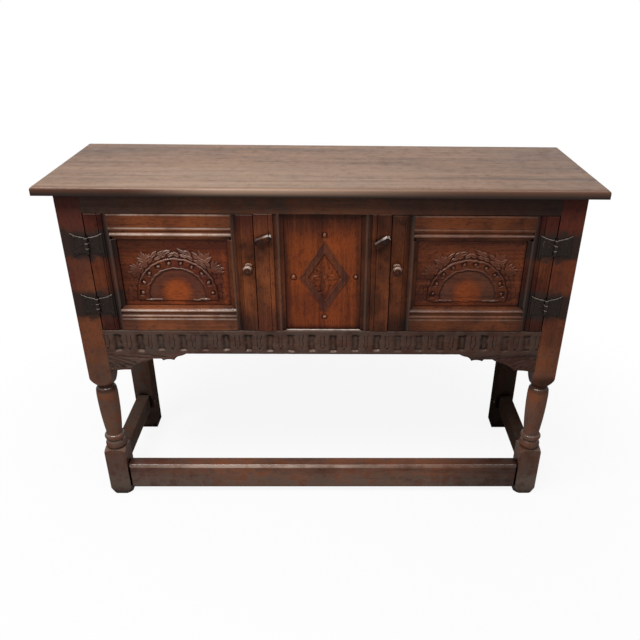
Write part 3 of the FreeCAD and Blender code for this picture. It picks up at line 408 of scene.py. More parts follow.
def dust_of(wood):
    """How dusty the wood is: by a carving's own attribute, or by the piece and its height."""
    if wood.carved:
        dusty = attribute(wood.tree, "dust")
    else:
        near_floor = fade(wood.z, 0.55, 0.25, high=0.6)
        on_floor = fade(wood.z, 0.09, 0.02, high=0.8)
        dusty = times(plus(near_floor, on_floor), by_word(wood.name, DUSTY, 0.0))
        dusty = plus(dusty, by_word(wood.name, GREYED, 0.0))
    return times(fade(wood.stains, 0.35, 0.6, low=0.5), dusty)


def iron_stain(wood):
    """1 on the wood round the iron hinges, with a ragged border."""
    low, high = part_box("left_post_hinge_leaves")
    half_leaf = 28 * MM
    height = plus(wood.z, times(less(wood.stains, 0.5), 0.06))
    marks = 0.0
    for middle in (low.z + half_leaf, high.z - half_leaf):
        marks = larger(fade(apart(height, middle), 0.046, 0.022, high=0.95), marks)
    return times(marks, fade(wood.y, -0.15, -0.166))


def ground_colour(wood, inner):
    """The open wood: grain, warm middle, red patches, dark stains, pores, dust and iron stains."""
    look, tone = wood.look, wood.tone
    warmth = warmth_of(wood, inner)
    colour = blended(warmth, grain_colour(wood), solid(look.glow, tone))
    redness = fade(wood.reds, 0.48, 0.66, high=look.red_share)
    red = solid(look.red, tone)
    stained = any(word in wood.name for word in STAINED)
    if stained:
        redness = larger(redness, fade(wood.z, 0.4, 0.66, high=0.75))
        red = solid(look.red, tone * POST_RED)
    colour = blended(times(redness, less(1.0, warmth)), colour, red)
    colour = blended(fade(wood.stains, 0.52, 0.74, high=0.5), colour, solid(look.dark, tone))
    colour = shaded(times(wood.pores, 0.7), colour, PORE_SHADE)
    colour = blended(dust_of(wood), colour, solid(DUST, tone))
    if stained:
        colour = blended(iron_stain(wood), colour, solid(IRON_STAIN))
    return colour


def worn_and_highlit_edge(wood, inner, free):
    """How light the edges are painted, by wear and painted highlight; the painted highlight fades
    towards the dresser's right on most pieces.
    """
    name = wood.name
    lines = by_word(name, HIGHLIGHT_LINES, ())
    if lines:
        uneven = times(fade(inner, 0.0, 1.0, low=0.35), fade(wood.patches, 0.35, 0.6, low=0.45))
        edge = times(bands_along(wood.z, lines), wood.front, uneven)
    else:
        edge = larger(upper_edge(wood.tree), wood.sloped)
        # A button's painted highlight is not dimmed by crevices
        if "button" not in name:
            edge = times(edge, fade(free, 0.25, 0.75))
    edge = times(edge, by_word(name, WEAR_AND_HIGHLIGHT, 0.5))
    if wood.carved:
        crown = fade(wood.facing_up, 0.0, 1.0, low=0.2)
        edge = larger(edge, times(attribute(wood.tree, "worn"), crown))
    edge = times(edge, fade(wood.stains, 0.28, 0.55, low=0.45))
    # The painted highlight on a button is brightest at its right end
    if "button" in name:
        across = parts_of(coordinates(wood.tree, "Generated"))["X"]
        edge = times(edge, fade(across, 0.4, 0.75, low=0.15))
    elif "knob" not in name:
        least = 0.5 if "panel" in name else 0.22
        # Painted highlight and wear fade towards the dresser's right
        edge = times(edge, fade(wood.x, 0.3, -0.05, low=least))
    return edge


def grime_and_painted_shade(wood, free, colour):
    """The colour, darkened by grime and painted shade in the crevices and by painted shade under ledges,
    less on faces that turn up.
    """
    grime_and_shade = less(1.0, larger(free, times(wood.facing_up, 0.75)))
    colour = shaded(grime_and_shade, colour, wood.look.crevice)
    in_open = openness(wood.tree, SHELTER_REACH, dark=0.2, clear=0.75)
    return shaded(less(1.0, larger(in_open, wood.facing_up)), colour, SHELTER_SHADE)


def painted_sheen_share(wood):
    """How much a painted sheen lightens the top: most along its front left of the middle, in streaks."""
    forward = fade(wood.y, 0.06, -0.16, low=0.04, high=0.23)
    across = times(fade(wood.x, -0.6, -0.35, low=0.45), fade(wood.x, 0.45, 0.0, low=0.25))
    return times(forward, across, fade(wood.bands, 0.35, 0.62, low=0.5, high=1.3))


def arris_wear_and_highlight(wood):
    """How far the top's front arris is painted light, by wear and painted highlight: most left of the
    middle.
    """
    arris = times(fade(wood.z, 0.831, 0.845, high=0.62), fade(wood.y, -0.1925, -0.1978))
    return times(arris, fade(wood.x, -0.42, -0.2), fade(wood.x, 0.36, -0.16, low=0.1))


def top_finish(wood, colour):
    """The top's colour: a painted sheen on the boards, painted shade on the red front edge, darkest at
    its foot, and a front arris painted light by wear and painted highlight.
    """
    look = wood.look
    colour = blended(painted_sheen_share(wood), colour, solid(SHEEN_PAINT))
    rim_shade = blended(fade(wood.z, 0.832, 0.849), solid(look.red, 0.09), solid(look.red, 0.72))
    within = times(upward(wood.tree, 0.15, 0.9), fade(wood.y, -0.199, -0.168, low=0.55))
    colour = blended(within, rim_shade, colour)
    return blended(arris_wear_and_highlight(wood), colour, solid(look.worn, 1.2))


def banded(wood, colour):
    """The colour with the band of painted shade, the painted highlight on the shoulder and the painted
    shade along an axis that its tables give it.
    """
    band = by_word(wood.name, SHADE_BANDS)
    if band:
        middle, half, share = band
        shade_share = times(bands_along(wood.z, ((middle, half),)), share)
        colour = shaded(shade_share, colour, BAND_SHADE)
    highlight_band = by_word(wood.name, SHOULDER_HIGHLIGHTS)
    if highlight_band:
        shoulder_glint = bands_along(wood.z, (highlight_band,))
        shoulder_glint = times(shoulder_glint, fade(wood.y, -0.15, -0.165, high=0.42))
        colour = blended(shoulder_glint, colour, solid(wood.look.glow))
    shade_span = by_word(wood.name, PAINTED_SHADE_SPANS)
    if shade_span:
        axis, start, end, share = shade_span
        colour = shaded(fade(wood.parts[axis], start, end, high=share), colour, DIM_SHADE)
    return colour


def moulded(wood, colour):
    """The colour with painted shade and grime in the mouldings of an upright, and painted highlights
    along their rounds.
    """
    moulding = by_word(wood.name, MOULDED)
    if not moulding:
        return colour
    middle, half = moulding
    beside = apart(wood.x, 0.0)
    shade_share = fade(apart(beside, middle), half, half - 0.004, high=0.8)
    colour = shaded(times(shade_share, wood.front), colour, MOULDING_SHADE)
    line = bands_along(beside, (by_word(wood.name, UPRIGHT_HIGHLIGHTS),))
    return blended(times(line, UPRIGHT_HIGHLIGHT_SHARE, wood.front), colour, solid(wood.look.worn))


def painted_ledge_highlight(wood, colour):
    """The frieze's colour with a painted highlight along its ledge, most under the centre panel."""
    away = apart(wood.x, 0.0)
    ledge = times(upward(wood.tree, 0.88, 0.98), fade(away, 0.095, 0.08, low=0.12))
    ledge = times(ledge, fade(wood.stains, 0.35, 0.55, low=0.6))
    return blended(ledge, colour, solid(HIGHLIGHT_PAINT))


def oak_roughness(wood, free, edge):
    """Duller in the crevices and in stains, smoother on the rubbed edges."""
    open_wood = wood.look.roughness
    dull = times(less(wood.stains, 0.5), 0.3)
    dull = plus(dull, fade(free, 1.0, 0.0, low=open_wood, high=open_wood + 0.25))
    return less(dull, times(edge, 0.1))


def oak_bump(wood):
    """Raised streaks, sunk pores and the slow swells of a hand-planed board."""
    height = less(times(wood.streaks, 0.5), times(wood.pores, 0.45))
    height = plus(height, times(wood.swells, 1.8))
    return bumped(height, strength=0.55, distance=0.0007)


def wax_coat(wood):
    """How much wax shines: most on the slopes; a plain 0 where there is none."""
    wax = by_word(wood.name, WAXED, 1.0)
    coat, polish = wood.look.coat * wax, wood.look.polish * wax
    if polish == 0:
        return 0.0
    shine = times(wood.sloped, by_word(wood.name, WEAR_AND_HIGHLIGHT, 0.5)) if wood.carved else wood.sloped
    return fade(shine, 0.0, 1.0, low=coat, high=polish)


def oak(name, look, grain, carved):
    """Waxed oak, its grain along one axis: streaks, pores, patina, grime with painted shade in the
    crevices, and edges painted light by wear and painted highlight.
    """
    material, tree = new_material(name)
    wood = oak_patterns(tree, name, look, grain, carved)
    inner = polished_middle(wood)
    free = openness(tree, CREVICE_REACH, dark=0.3, clear=0.92)
    edge = worn_and_highlit_edge(wood, inner, free)
    # The hollows of a carving take more of the grime and painted shade
    if carved:
        free = times(free, fade(attribute(tree, "relief"), -0.9, 0.0, low=0.35))
    colour = grime_and_painted_shade(wood, free, ground_colour(wood, inner))
    if name.startswith("top_"):
        colour = top_finish(wood, colour)
    colour = moulded(wood, banded(wood, colour))
    # Edges painted light by wear and painted highlight; a button's end takes the brighter painted
    # highlight
    worn = HIGHLIGHT_PAINT if "button" in name else look.worn
    colour = blended(times(edge, look.wear_and_highlight_share), colour, solid(worn))
    if "frieze" in name:
        colour = painted_ledge_highlight(wood, colour)
    finish_material(tree, {
        "Base Color": colour, "Roughness": oak_roughness(wood, free, edge), "Normal": oak_bump(wood),
        "Specular IOR Level": look.gloss, "Coat Weight": wax_coat(wood),
        "Coat Roughness": look.coat_roughness,
    })
    return material


# Iron

IRON_BLACK = (0.02, 0.0138, 0.0115)
IRON_RUST = (0.034, 0.0185, 0.013)
IRON_WEAR_AND_HIGHLIGHT = (0.44, 0.38, 0.33)


def iron(name):
    """Blackened wrought iron: hammer marks, a little rust and, on hinge leaves, upper edges painted
    light by wear and painted highlight.
    """
    material, tree = new_material(name)
    place = coordinates(tree, "Object")
    hammer = noise(place, scale=260, detail=2)
    speckle = noise(place, scale=900, detail=3)
    rust = fade(noise(place, scale=120, detail=4), 0.52, 0.72, high=0.6)
    colour = blended(rust, solid(IRON_BLACK), solid(IRON_RUST))
    # Upper edges of the hinge leaves painted light: wear and painted highlight
    if "leaves" in name:
        colour = blended(upper_edge(tree), colour, solid(IRON_WEAR_AND_HIGHLIGHT))
    height = plus(hammer, times(speckle, 0.25))
    finish_material(tree, {
        "Base Color": colour,
        "Roughness": fade(speckle, 0.3, 0.7, low=0.5, high=0.7),
        "Normal": bumped(height, strength=0.7, distance=0.0009),
        "Metallic": 0.3, "Specular IOR Level": 0.1,
    })
    return material


# Dressing the solids

def soften(node, width):
    """Worn arrises: welds the solid's faces and rounds its sharp edges."""
    weld = node.modifiers.new("weld", "WELD")
    weld.merge_threshold = 0.01 * MM
    bevel = node.modifiers.new("worn_edges", "BEVEL")
    bevel.width = width * MM
    bevel.segments = 2
    bevel.limit_method = "ANGLE"
    bevel.angle_limit = math.radians(38)
    node.modifiers.new("normals", "WEIGHTED_NORMAL")


def dress(piece, name, slot):
    """Gives one piece the finish of its slot."""
    if slot == "black_iron":
        material = iron(f"{name}_iron")
    else:
        carved = "relief" in piece.data.attributes
        material = oak(f"{name}_oak", LOOKS[slot], by_word(name, GRAIN_WORDS, "x"), carved)
    piece.data.materials.clear()
    piece.data.materials.append(material)


# Carving, in millimetres: u and w are places across and up a panel

def smooth(start, end, value):
    """A smooth step from 0 to 1 as the value goes from start to end."""
    share = np.clip((value - start) / (end - start), 0, 1)
    return share * share * (3 - 2 * share)


def dome(distance, radius, height):
    """A round boss, or a round hollow where the height is negative."""
    return height * np.sqrt(np.clip(1 - (distance / radius) ** 2, 0, 1))


def leaf(u, w, foot, angle, length, width, height):
    """A pointed leaf from its foot: two swollen halves beside a sunk vein."""
    du, dw = u - foot[0], w - foot[1]
    along = (du * math.cos(angle) + dw * math.sin(angle)) / length
    across = dw * math.cos(angle) - du * math.sin(angle)
    inside = np.clip(along, 0, 1)
    half = width * np.sin(math.pi * inside ** 0.75) ** 0.8
    share = np.abs(across) / np.maximum(half, 1e-6)
    body = height * (0.35 + 0.65 * np.sin(math.pi * np.clip(share, 0, 1)))
    return np.where((along > 0) & (along < 1) & (share < 1), body, -np.inf)


# Sizes of a door panel's arch; sprays give across, up and first angle, rows give radius, pitch
# in degrees and offset in leaves, and the ranges are of random shares
ARCH = SimpleNamespace(
    outer=92, inner=66, spring=24, base=12, ring_level=0.3, ground=-1.5, margin=2, slope=10,
    fillet=4.2, fillet_level=1.6, outer_wear_and_highlight=0.6, inner_wear_and_highlight=0.76, fillet_rise=60,
    field_level=0.2, dish_depth=1.3, dish_slope=14, field_dust=0.15,
    beads=10, bead_pitch=19, bead_place=80, bead_radius=4.2, bead_height=3.8, bead_crown=(1.5, 4.0),
    hollow_place=82.5, hollow_radius=8.2, hollow_depth=2.8,
    foot_inner=36, foot_outer=74, foot_lift=2, foot_height=4.5, foot_level=1.8, foot_wear_and_highlight=0.7,
    dots=240, dot_radius=2.1, dot_depth=0.8,
    leaf_reach=21, leaf_width=4.6, leaf_height=3.0, leaf_lean=0.3, leaf_border=5, reach_range=(0.7, 1.1),
    leaf_wear_and_highlight=0.85, leaf_crown=(0.2, 0.9), low_wear_and_highlight=0.12, wear_and_highlight_heights=(74, 112),
    sprays=((84, 82, 0), (66, 104, 35)), spray_leaves=5, spray_turn=22, spray_jitter=6, spray_reach=30,
    spray_breadth=1.1, spray_range=(0.35, 0.75),
    rows=((98, 9.5, 0.0), (106, 9, 0.5)), row_leaves=10, row_start=8, row_jitter=0.02, row_taper=0.4,
    lean_range=(-0.2, 1.6), row_range=(0.55, 1.0), breadth_range=(0.8, 1.15),
    glow_height=34, glow_wide=50, glow_tall=55, centre_glow=0.95, side_glow=0.68, low_glow=0.35,
    ground_glow=0.16, crown_glow=0.2, crown_heights=(78, 108),
)


def sprays(u, w, way, chance, shape):
    """The shape with leaves that fan out on one side of the arch."""
    a = ARCH
    for across, up, first in a.sprays:
        for step in range(a.spray_leaves):
            jitter = chance.uniform(-a.spray_jitter, a.spray_jitter)
            angle = math.radians(first + a.spray_turn * step + jitter)
            angle = angle if way > 0 else math.pi - angle
            reach = a.spray_reach * chance.uniform(*a.reach_range)
            tall = a.leaf_height * chance.uniform(*a.spray_range)
            broad = a.leaf_width * a.spray_breadth
            shape = np.maximum(shape, leaf(u, w, (way * across, up), angle, reach, broad, tall))
    return shape


def leaf_rows(u, w, way, chance, shape):
    """The shape with leaves that lie along one half of the arch towards its crown."""
    a = ARCH
    for radius, pitch, offset in a.rows:
        for step in range(a.row_leaves):
            turn = math.radians(a.row_start + pitch * (step + offset))
            turn = turn + chance.uniform(-a.row_jitter, a.row_jitter)
            foot = (way * radius * math.sin(turn), a.spring + radius * math.cos(turn))
            lean = a.leaf_lean * chance.uniform(*a.lean_range)
            angle = math.pi / 2 + way * (math.pi / 2 - turn - lean)
            reach = a.leaf_reach * chance.uniform(*a.reach_range)
            taper = 1 - a.row_taper * step / a.row_leaves
            tall = a.leaf_height * chance.uniform(*a.row_range) * taper
            broad = a.leaf_width * chance.uniform(*a.breadth_range)
            shape = np.maximum(shape, leaf(u, w, foot, angle, reach, broad, tall))
    return shape


def laurel(u, w, half_width, height):
    """Leaves along the arch and sprays beside it, on a dotted ground."""
    a = ARCH
    chance = seed_of("laurel")
    shape = np.zeros_like(u)
    for _ in range(a.dots):
        spot = np.hypot(u - chance.uniform(-half_width, half_width), w - chance.uniform(0, height))
        shape = np.minimum(shape, dome(spot, a.dot_radius, -a.dot_depth))
    for way in (-1, 1):
        shape = sprays(u, w, way, chance, shape)
        shape = leaf_rows(u, w, way, chance, shape)
    return shape


def beaded(u, rise, level, worn):
    """The arch's heights, and its wear and painted highlights, with its ring of beads, each in a hollow.
    """
    a = ARCH
    for step in range(a.beads):
        turn = math.radians((step - (a.beads - 1) / 2) * a.bead_pitch)
        across, up = math.sin(turn), math.cos(turn)
        hollow = np.hypot(u - a.hollow_place * across, rise - a.hollow_place * up)
        bead = np.hypot(u - a.bead_place * across, rise - a.bead_place * up)
        level = level + dome(hollow, a.hollow_radius, -a.hollow_depth)
        level = level + dome(bead, a.bead_radius, a.bead_height)
        worn = np.maximum(worn, 1 - smooth(*a.bead_crown, bead))
    return level, worn


def filleted(radius, w, level, worn):
    """The arch's heights, and its wear and painted highlights, with a round fillet along each of its
    edges.
    """
    a = ARCH
    half = a.fillet / 2
    for edge, most_wear_and_highlight in ((a.outer - half, a.outer_wear_and_highlight), (a.inner + half, a.inner_wear_and_highlight)):
        fillet = dome(radius - edge, half, a.fillet_level)
        on_fillet = (w > a.base) & (np.abs(radius - edge) < half)
        level = np.where(on_fillet, np.maximum(level, fillet), level)
        marked = most_wear_and_highlight * smooth(a.spring, a.spring + a.fillet_rise, w)
        worn = np.where(on_fillet, np.maximum(worn, marked), worn)
    return level, worn


def footed(u, w, level, worn):
    """The arch's heights, and its wear and painted highlights, with the small round under each of its
    feet.
    """
    a = ARCH
    line, half = a.base + a.foot_lift, a.foot_height / 2
    foot = (np.abs(u) > a.foot_inner) & (np.abs(u) < a.foot_outer) & (np.abs(w - line) < half)
    level = np.where(foot, dome(w - line, half, a.foot_level), level)
    return level, np.where(foot, a.foot_wear_and_highlight, worn)


def arch_glow(u, w, half_width, height, centre):
    """How warm a door panel is: most inside its arch and right of it, falling to painted shade round its
    border.
    """
    a = ARCH
    beside = a.side_glow * smooth(a.outer + 4, a.outer + 22, u)
    below = a.low_glow * (1 - smooth(a.base - 4, a.base + 4, w))
    above = a.ground_glow + a.crown_glow * smooth(*a.crown_heights, w)
    glow = np.maximum.reduce([a.centre_glow * centre, beside, below, above])
    return glow * smooth(0, 14, half_width - np.abs(u)) * smooth(8, 36, height - w)


def arch_relief(u, w, half_width, height):
    """A door panel: heights of its beaded arch and leaves, its glow, dust, and wear and painted
    highlights.
    """
    a = ARCH
    rise = w - a.spring
    radius = np.where(rise > 0, np.hypot(u, rise), np.abs(u))
    to_border = np.minimum.reduce([half_width - np.abs(u), height - w, w]) - a.margin
    leaves = laurel(u, w, half_width, height) * smooth(0, a.leaf_border, to_border)
    level = a.ground * smooth(0, a.slope, to_border) + leaves
    worn = a.leaf_wear_and_highlight * smooth(*a.leaf_crown, leaves) * (radius > a.outer)
    # The painted highlights on the leaves are weaker lower down
    worn = worn * (a.low_wear_and_highlight + (1 - a.low_wear_and_highlight) * smooth(*a.wear_and_highlight_heights, w))
    ring = (radius < a.outer) & (radius > a.inner) & (w > a.base)
    level = np.where(ring, a.ring_level, level)
    level, worn = beaded(u, rise, level, worn)
    level, worn = filleted(radius, w, level, worn)
    field = (radius <= a.inner) & (w > a.base)
    dish = a.dish_depth * smooth(a.inner - a.dish_slope, a.inner, radius)
    level = np.where(field, a.field_level - dish, level)
    level, worn = footed(u, w, level, worn)
    level = np.where(w <= a.base - 0.2, np.minimum(level, 0), level)
    centre = 1 - smooth(0.3, 1.0, np.hypot(u / a.glow_wide, (w - a.glow_height) / a.glow_tall))
    glow = arch_glow(u, w, half_width, height, centre)
    return level, glow, a.field_dust * field * (1 - centre), worn


# Sizes of the centre panel's lozenge; petals give direction in degrees, length and width
LOZENGE = SimpleNamespace(
    shift=4, drop=10, half_width=58, half_height=89, band=17, band_level=0.4, ground=-1.4,
    fillet=4, fillet_level=1.1, rim_depth=0.9, rim_ends=(-7, -0.3),
    notch_pace=22, notch_depth=0.7, notch_rise=0.6,
    stud_radius=4.6, stud_height=2.5, stud_across=72, stud_up=101, stud_ring=9.5, stud_sink=1.8,
    stud_wear_and_highlight=0.9,
    petals=(
        (0, 30, 8), (90, 46, 10), (180, 30, 8), (270, 46, 10),
        (52, 27, 5), (128, 27, 5), (232, 27, 5), (308, 27, 5),
    ),
    petal_height=1.6, petal_wear_and_highlight=0.12, boss_radius=6.0, boss_height=2.2, boss_lift=0.4,
    bumps=60, bump_across=30, bump_up=45, bump_radius=3.4, bump_height=1.2,
    inner_glow=0.5, band_glow=0.22, outer_glow=0.64, band_dust=0.12,
)


def flower_relief(u, w):
    """Petals round a boss, on an uneven ground."""
    z = LOZENGE
    chance = seed_of("flower")
    flower = np.zeros_like(u)
    for turn, length, width in z.petals:
        petal = leaf(u, w, (0, 0), math.radians(turn), length, width, z.petal_height)
        flower = np.maximum(flower, petal)
    for _ in range(z.bumps):
        across = u - chance.uniform(-z.bump_across, z.bump_across)
        up = w - chance.uniform(-z.bump_up, z.bump_up)
        height = z.bump_height * chance.uniform(-1, 1)
        flower = flower + dome(np.hypot(across, up), z.bump_radius, height)
    distance = np.hypot(u, w)
    boss = z.boss_lift + dome(distance, z.boss_radius, z.boss_height)
    return np.where(distance < z.boss_radius, boss, flower)


def studded(u, w, level, worn):
    """The panel's heights, and wear and painted highlights, with a stud in a sunk ring off each point of
    the lozenge.
    """
    z = LOZENGE
    for side, rise in ((-z.stud_across, 0), (z.stud_across, 0), (0, -z.stud_up), (0, z.stud_up)):
        spot = np.hypot(u - side, w - rise)
        level = level - z.stud_sink * (1 - smooth(z.stud_radius, z.stud_ring, spot))
        level = level + dome(spot, z.stud_radius, z.stud_height + z.stud_sink)
        crown = np.hypot(u - side, w - rise - 1)
        worn = np.maximum(worn, z.stud_wear_and_highlight * (1 - smooth(1.0, 4.2, crown)))
    return level, worn


def lozenge_relief(across, up):
    """The centre panel: heights of its lozenge, flower and studs, its glow, dust, and wear and painted
    highlights.
    """
    z = LOZENGE
    u, w = across - z.shift, up + z.drop
    slope = 1 / math.hypot(1 / z.half_width, 1 / z.half_height)
    inward = (1 - np.abs(u) / z.half_width - np.abs(w) / z.half_height) * slope
    level = -z.rim_depth * smooth(*z.rim_ends, inward) * (inward < 0)
    level = np.where(inward > 0, z.band_level, level)
    notch = np.cos((np.abs(u) / z.half_width - np.abs(w) / z.half_height) * z.notch_pace)
    notched = (inward > z.fillet) & (inward < z.band - z.fillet)
    level = np.where(notched, z.band_level - z.notch_depth + z.notch_rise * notch, level)
    for edge in (z.fillet / 2, z.band - z.fillet / 2):
        level = np.maximum(level, dome(inward - edge, z.fillet / 2, z.fillet_level))
    flower = flower_relief(u, w)
    within = inward > z.band
    level = np.where(within, z.ground + flower, level)
    worn = z.petal_wear_and_highlight * smooth(0.8, 2.0, flower) * within
    level, worn = studded(u, w, level, worn)
    to_side, half_height = np.abs(across).max() - np.abs(across), np.abs(up).max()
    # Painted shade round the panel's border, deepest under its top
    border_shade = smooth(6, 28, to_side) * smooth(10, 92, half_height - up) * smooth(4, 26, half_height + up)
    glow = np.where(within, z.inner_glow, np.where(inward > 0, z.band_glow, z.outer_glow)) * border_shade
    dust = z.band_dust * smooth(-1, 1, inward) - z.band_dust * smooth(z.band, z.band + 2, inward)
    return level, glow, dust, worn


# Sizes of the frieze; uneven gives, for each flute, the ranges of its shift across, the share of
# its depth, the lift of its foot and how strongly its sill is painted light, by wear and painted
# highlight
FRIEZE = SimpleNamespace(
    flutes=20, span=979, half_width=11.5, depth=4.6, foot=443, sill=4.5, head=490, low=436,
    uneven=((-1.6, 1.6), (0.7, 1.05), (-1.2, 2.2), (0.4, 1.0)),
    tongue_half=4.6, cut_half=1.9, cut_depth=1.5, punch_radius=2.8, punch_depth=2.0, punch_height=451,
    gouges=5, gouge_depth=1.8, gouge_half=8, gouge_growth=0.6, gouge_length=205,
    first_gouge=-66, gouge_turn=15,
    dust=0.5, bracket_dust=0.34, sill_half=8.5, sill_wear_and_highlight=0.38, ridge_wear_and_highlight=0.4,
)


def frieze_relief(x, z, low):
    """The frieze: heights of its flutes, tongues and bracket leaves, no glow, its dust, and wear and
    painted highlights.
    """
    f = FRIEZE
    chance = seed_of("flutes")
    pitch = f.span / (f.flutes - 1)
    row = (x + f.span / 2) / pitch
    flute = np.clip(np.round(row), 0, f.flutes - 1).astype(int)
    shift, deep, foot, marked = (chance.uniform(*ends, f.flutes)[flute] for ends in f.uneven)
    across = (row - flute) * pitch + shift
    hollow = np.clip(1 - np.abs(across / f.half_width) ** 3, 0, 1)
    sill = np.clip((z - f.foot - foot) / f.sill, 0, 1) * np.clip((f.head - z) / f.sill, 0, 1)
    level = -f.depth * deep * hollow * sill
    tongue = np.abs(np.abs(across) - pitch / 2)
    cut = np.clip(1 - np.abs(tongue - f.tongue_half) / f.cut_half, 0, 1)
    cut = cut * smooth(f.punch_height, f.punch_height + 4, z) * (1 - smooth(f.head - 4, f.head - 1, z))
    level = level - f.cut_depth * deep * cut
    level = level + dome(np.hypot(tongue, z - f.punch_height), f.punch_radius, -f.punch_depth)
    dust = f.bracket_dust + (f.dust - f.bracket_dust) * smooth(f.low - 6, f.low + 6, z)
    worn = f.sill_wear_and_highlight * marked * (1 - smooth(f.sill_half - 3, f.sill_half, np.abs(across)))
    worn = worn * (1 - smooth(1.2, 3.2, np.abs(z - f.foot - foot - 1.5)))
    # The painted highlights on the sills fade towards the right
    worn = worn * (1 - 0.55 * smooth(50, 350, x))
    leaves, ridges = bracket_relief(x, z, low)
    # Painted highlights on the ridges of the left bracket only
    worn = np.maximum(worn, f.ridge_wear_and_highlight * ridges * (1 - smooth(-400, -300, x)))
    return level + leaves, np.zeros_like(x), dust, worn


def bracket_relief(x, z, low):
    """Heights and ridges of the leaf gouges that fan out from each leg, inside a plain edge."""
    f = FRIEZE
    beside = np.abs(x).max() - np.abs(x)
    root = (-30.0, f.low + 6.0)
    level = np.zeros_like(x)
    for step in range(f.gouges):
        angle = math.radians(f.first_gouge + f.gouge_turn * step)
        shape = leaf(beside, z, root, angle, f.gouge_length, f.gouge_half + step * f.gouge_growth, 1.0)
        gouge = np.minimum(level, -f.gouge_depth * np.maximum(shape - 0.35, 0))
        level = np.where(np.isfinite(shape), gouge, level)
    inside = smooth(3.5, 7.0, z - low) * (1 - smooth(f.low - 3, f.low + 1, z)) * smooth(2, 6, beside)
    return level * inside, inside * smooth(-0.6 * f.gouge_depth, 0, level)


# Boards that carry the carving; lengths in millimetres

CARVING_STEP = 0.9
PANEL_RELIEF = 2.5
PANEL_TONGUE = 7.0
TOOL_MARKS = 0.16
TOOL_STROKES = 14
WANDER = 3.5
BLUR_REACH = 5
FRIEZE_STEP = 1.3
FRIEZE_ROWS = 81
# How warm, worn and highlit each door's panel is against the carving's own values; the right door's
# lower value paints the weaker light on that side
DOOR_WARMTH_AND_LIGHT = {"left": 0.94, "right": 0.62}


def blurred(heights, reach):
    """Mean of the heights over a square, for telling hollows from crowns."""
    padded = np.pad(heights, reach, mode="edge")
    wide = 2 * reach + 1
    for axis in (0, 1):
        total = np.insert(np.cumsum(padded, axis=axis), 0, 0, axis=axis)
        count = total.shape[axis]
        ends = np.take(total, range(wide, count), axis)
        starts = np.take(total, range(count - wide), axis)
        padded = (ends - starts) / wide
    return padded


def board_faces(rows, columns):
    """Faces of a board: its carved grid, strips for its back, top and bottom, and its two ends."""
    index = np.arange(rows * columns).reshape(rows, columns)
    low = rows * columns + np.arange(columns)
    high = low + columns

    def strip(first, second):
        return np.stack([first[:-1], first[1:], second[1:], second[:-1]], -1).tolist()

    corners = [index[:-1, :-1], index[:-1, 1:], index[1:, 1:], index[1:, :-1]]
    faces = np.stack(corners, -1).reshape(-1, 4).tolist()
    faces += strip(high, low) + strip(index[-1], high) + strip(low, index[0])
    faces.append([low[0], *index[:, 0].tolist(), high[0]])
    faces.append([high[-1], *index[::-1, -1].tolist(), low[-1]])
    return [[int(spot) for spot in face] for face in faces]


def carved_board(name, x, z, carving, face, back):
    """A closed board, in millimetres, whose front carries a carving's heights, glow, dust, and wear and
    painted highlight.
    """
    heights, glow, dust, worn = carving
    rows, columns = x.shape
    front = np.stack([x, face - heights, z], -1).reshape(-1, 3)
    behind = [np.stack([x[row], np.full(columns, back), z[row]], -1) for row in (0, -1)]
    points = np.concatenate([front, *behind]) * MM
    mesh = bpy.data.meshes.new(name)
    mesh.from_pydata(points.tolist(), [], board_faces(rows, columns), shade_flat=False)
    mesh.set_sharp_from_angle(angle=math.radians(75))
    relief = np.clip((heights - blurred(heights, BLUR_REACH)) / 1.2, -1, 1)
    for word, values in (("relief", relief), ("glow", glow), ("dust", dust), ("worn", worn)):
        all_round = np.zeros(len(points), np.float32)
        all_round[:rows * columns] = values.ravel()
        mesh.attributes.new(word, "FLOAT", "POINT").data.foreach_set("value", all_round)
    board = bpy.data.objects.new(name, mesh)
    scene.collection.objects.link(board)
    return board


def stand_for(board, node, body, slot):
    """The carved board takes the node's place, on its body and in its finish."""
    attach(board, body)
    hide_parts(node)
    dress(board, node, slot)


def tool_marks(x, z, name):
    """Faint uneven scoops that a chisel leaves on a hand-cut surface."""
    chance = seed_of(name)
    marks = np.zeros_like(x)
    for _ in range(TOOL_STROKES):
        turn = chance.uniform(0, math.pi)
        pace = chance.uniform(0.12, 0.5)
        start = chance.uniform(0, 2 * math.pi)
        marks += np.sin((x * math.cos(turn) + z * math.sin(turn)) * pace + start)
    return marks / TOOL_STROKES


def by_hand(x, z, name):
    """Places on the wood, moved a little so that carved lines waver."""
    across = x + WANDER * tool_marks(x, z, f"{name}_across")
    up = z + WANDER * tool_marks(x, z, f"{name}_up")
    return across, up


def panel_grid(node):
    """Grid of a panel's front, with its face, its back and its middle."""
    low, high = (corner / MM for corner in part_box(node))
    columns = np.linspace(low.x, high.x, round((high.x - low.x) / CARVING_STEP) + 1)
    rows = np.linspace(low.z, high.z, round((high.z - low.z) / CARVING_STEP) + 1)
    x, z = np.meshgrid(columns, rows)
    return x, z, low.y + PANEL_RELIEF, high.y, (low + high) / 2


def hand_cut(heights, x, z, node):
    """A panel's heights with tool marks, and no higher than its relief."""
    return np.minimum(heights + TOOL_MARKS * tool_marks(x, z, node), PANEL_RELIEF)


def door_panel(side, warmth):
    """A door's panel, carved with the arch between the tongues that sit in the door's grooves."""
    node = f"{side}_door_panel"
    x, z, face, back, middle = panel_grid(node)
    half_width, height = np.ptp(x) / 2 - PANEL_TONGUE, np.ptp(z) - 2 * PANEL_TONGUE
    across, up = by_hand(x, z, node)
    u, w = across - middle.x, up - z.min() - PANEL_TONGUE
    heights, glow, dust, worn = arch_relief(u, w, half_width, height)
    carving = (hand_cut(heights, x, z, node), warmth * glow, dust, warmth * worn)
    board = carved_board(f"{side}_carved_panel", x, z, carving, face, back)
    stand_for(board, node, f"{side}_door", "carved_oak")


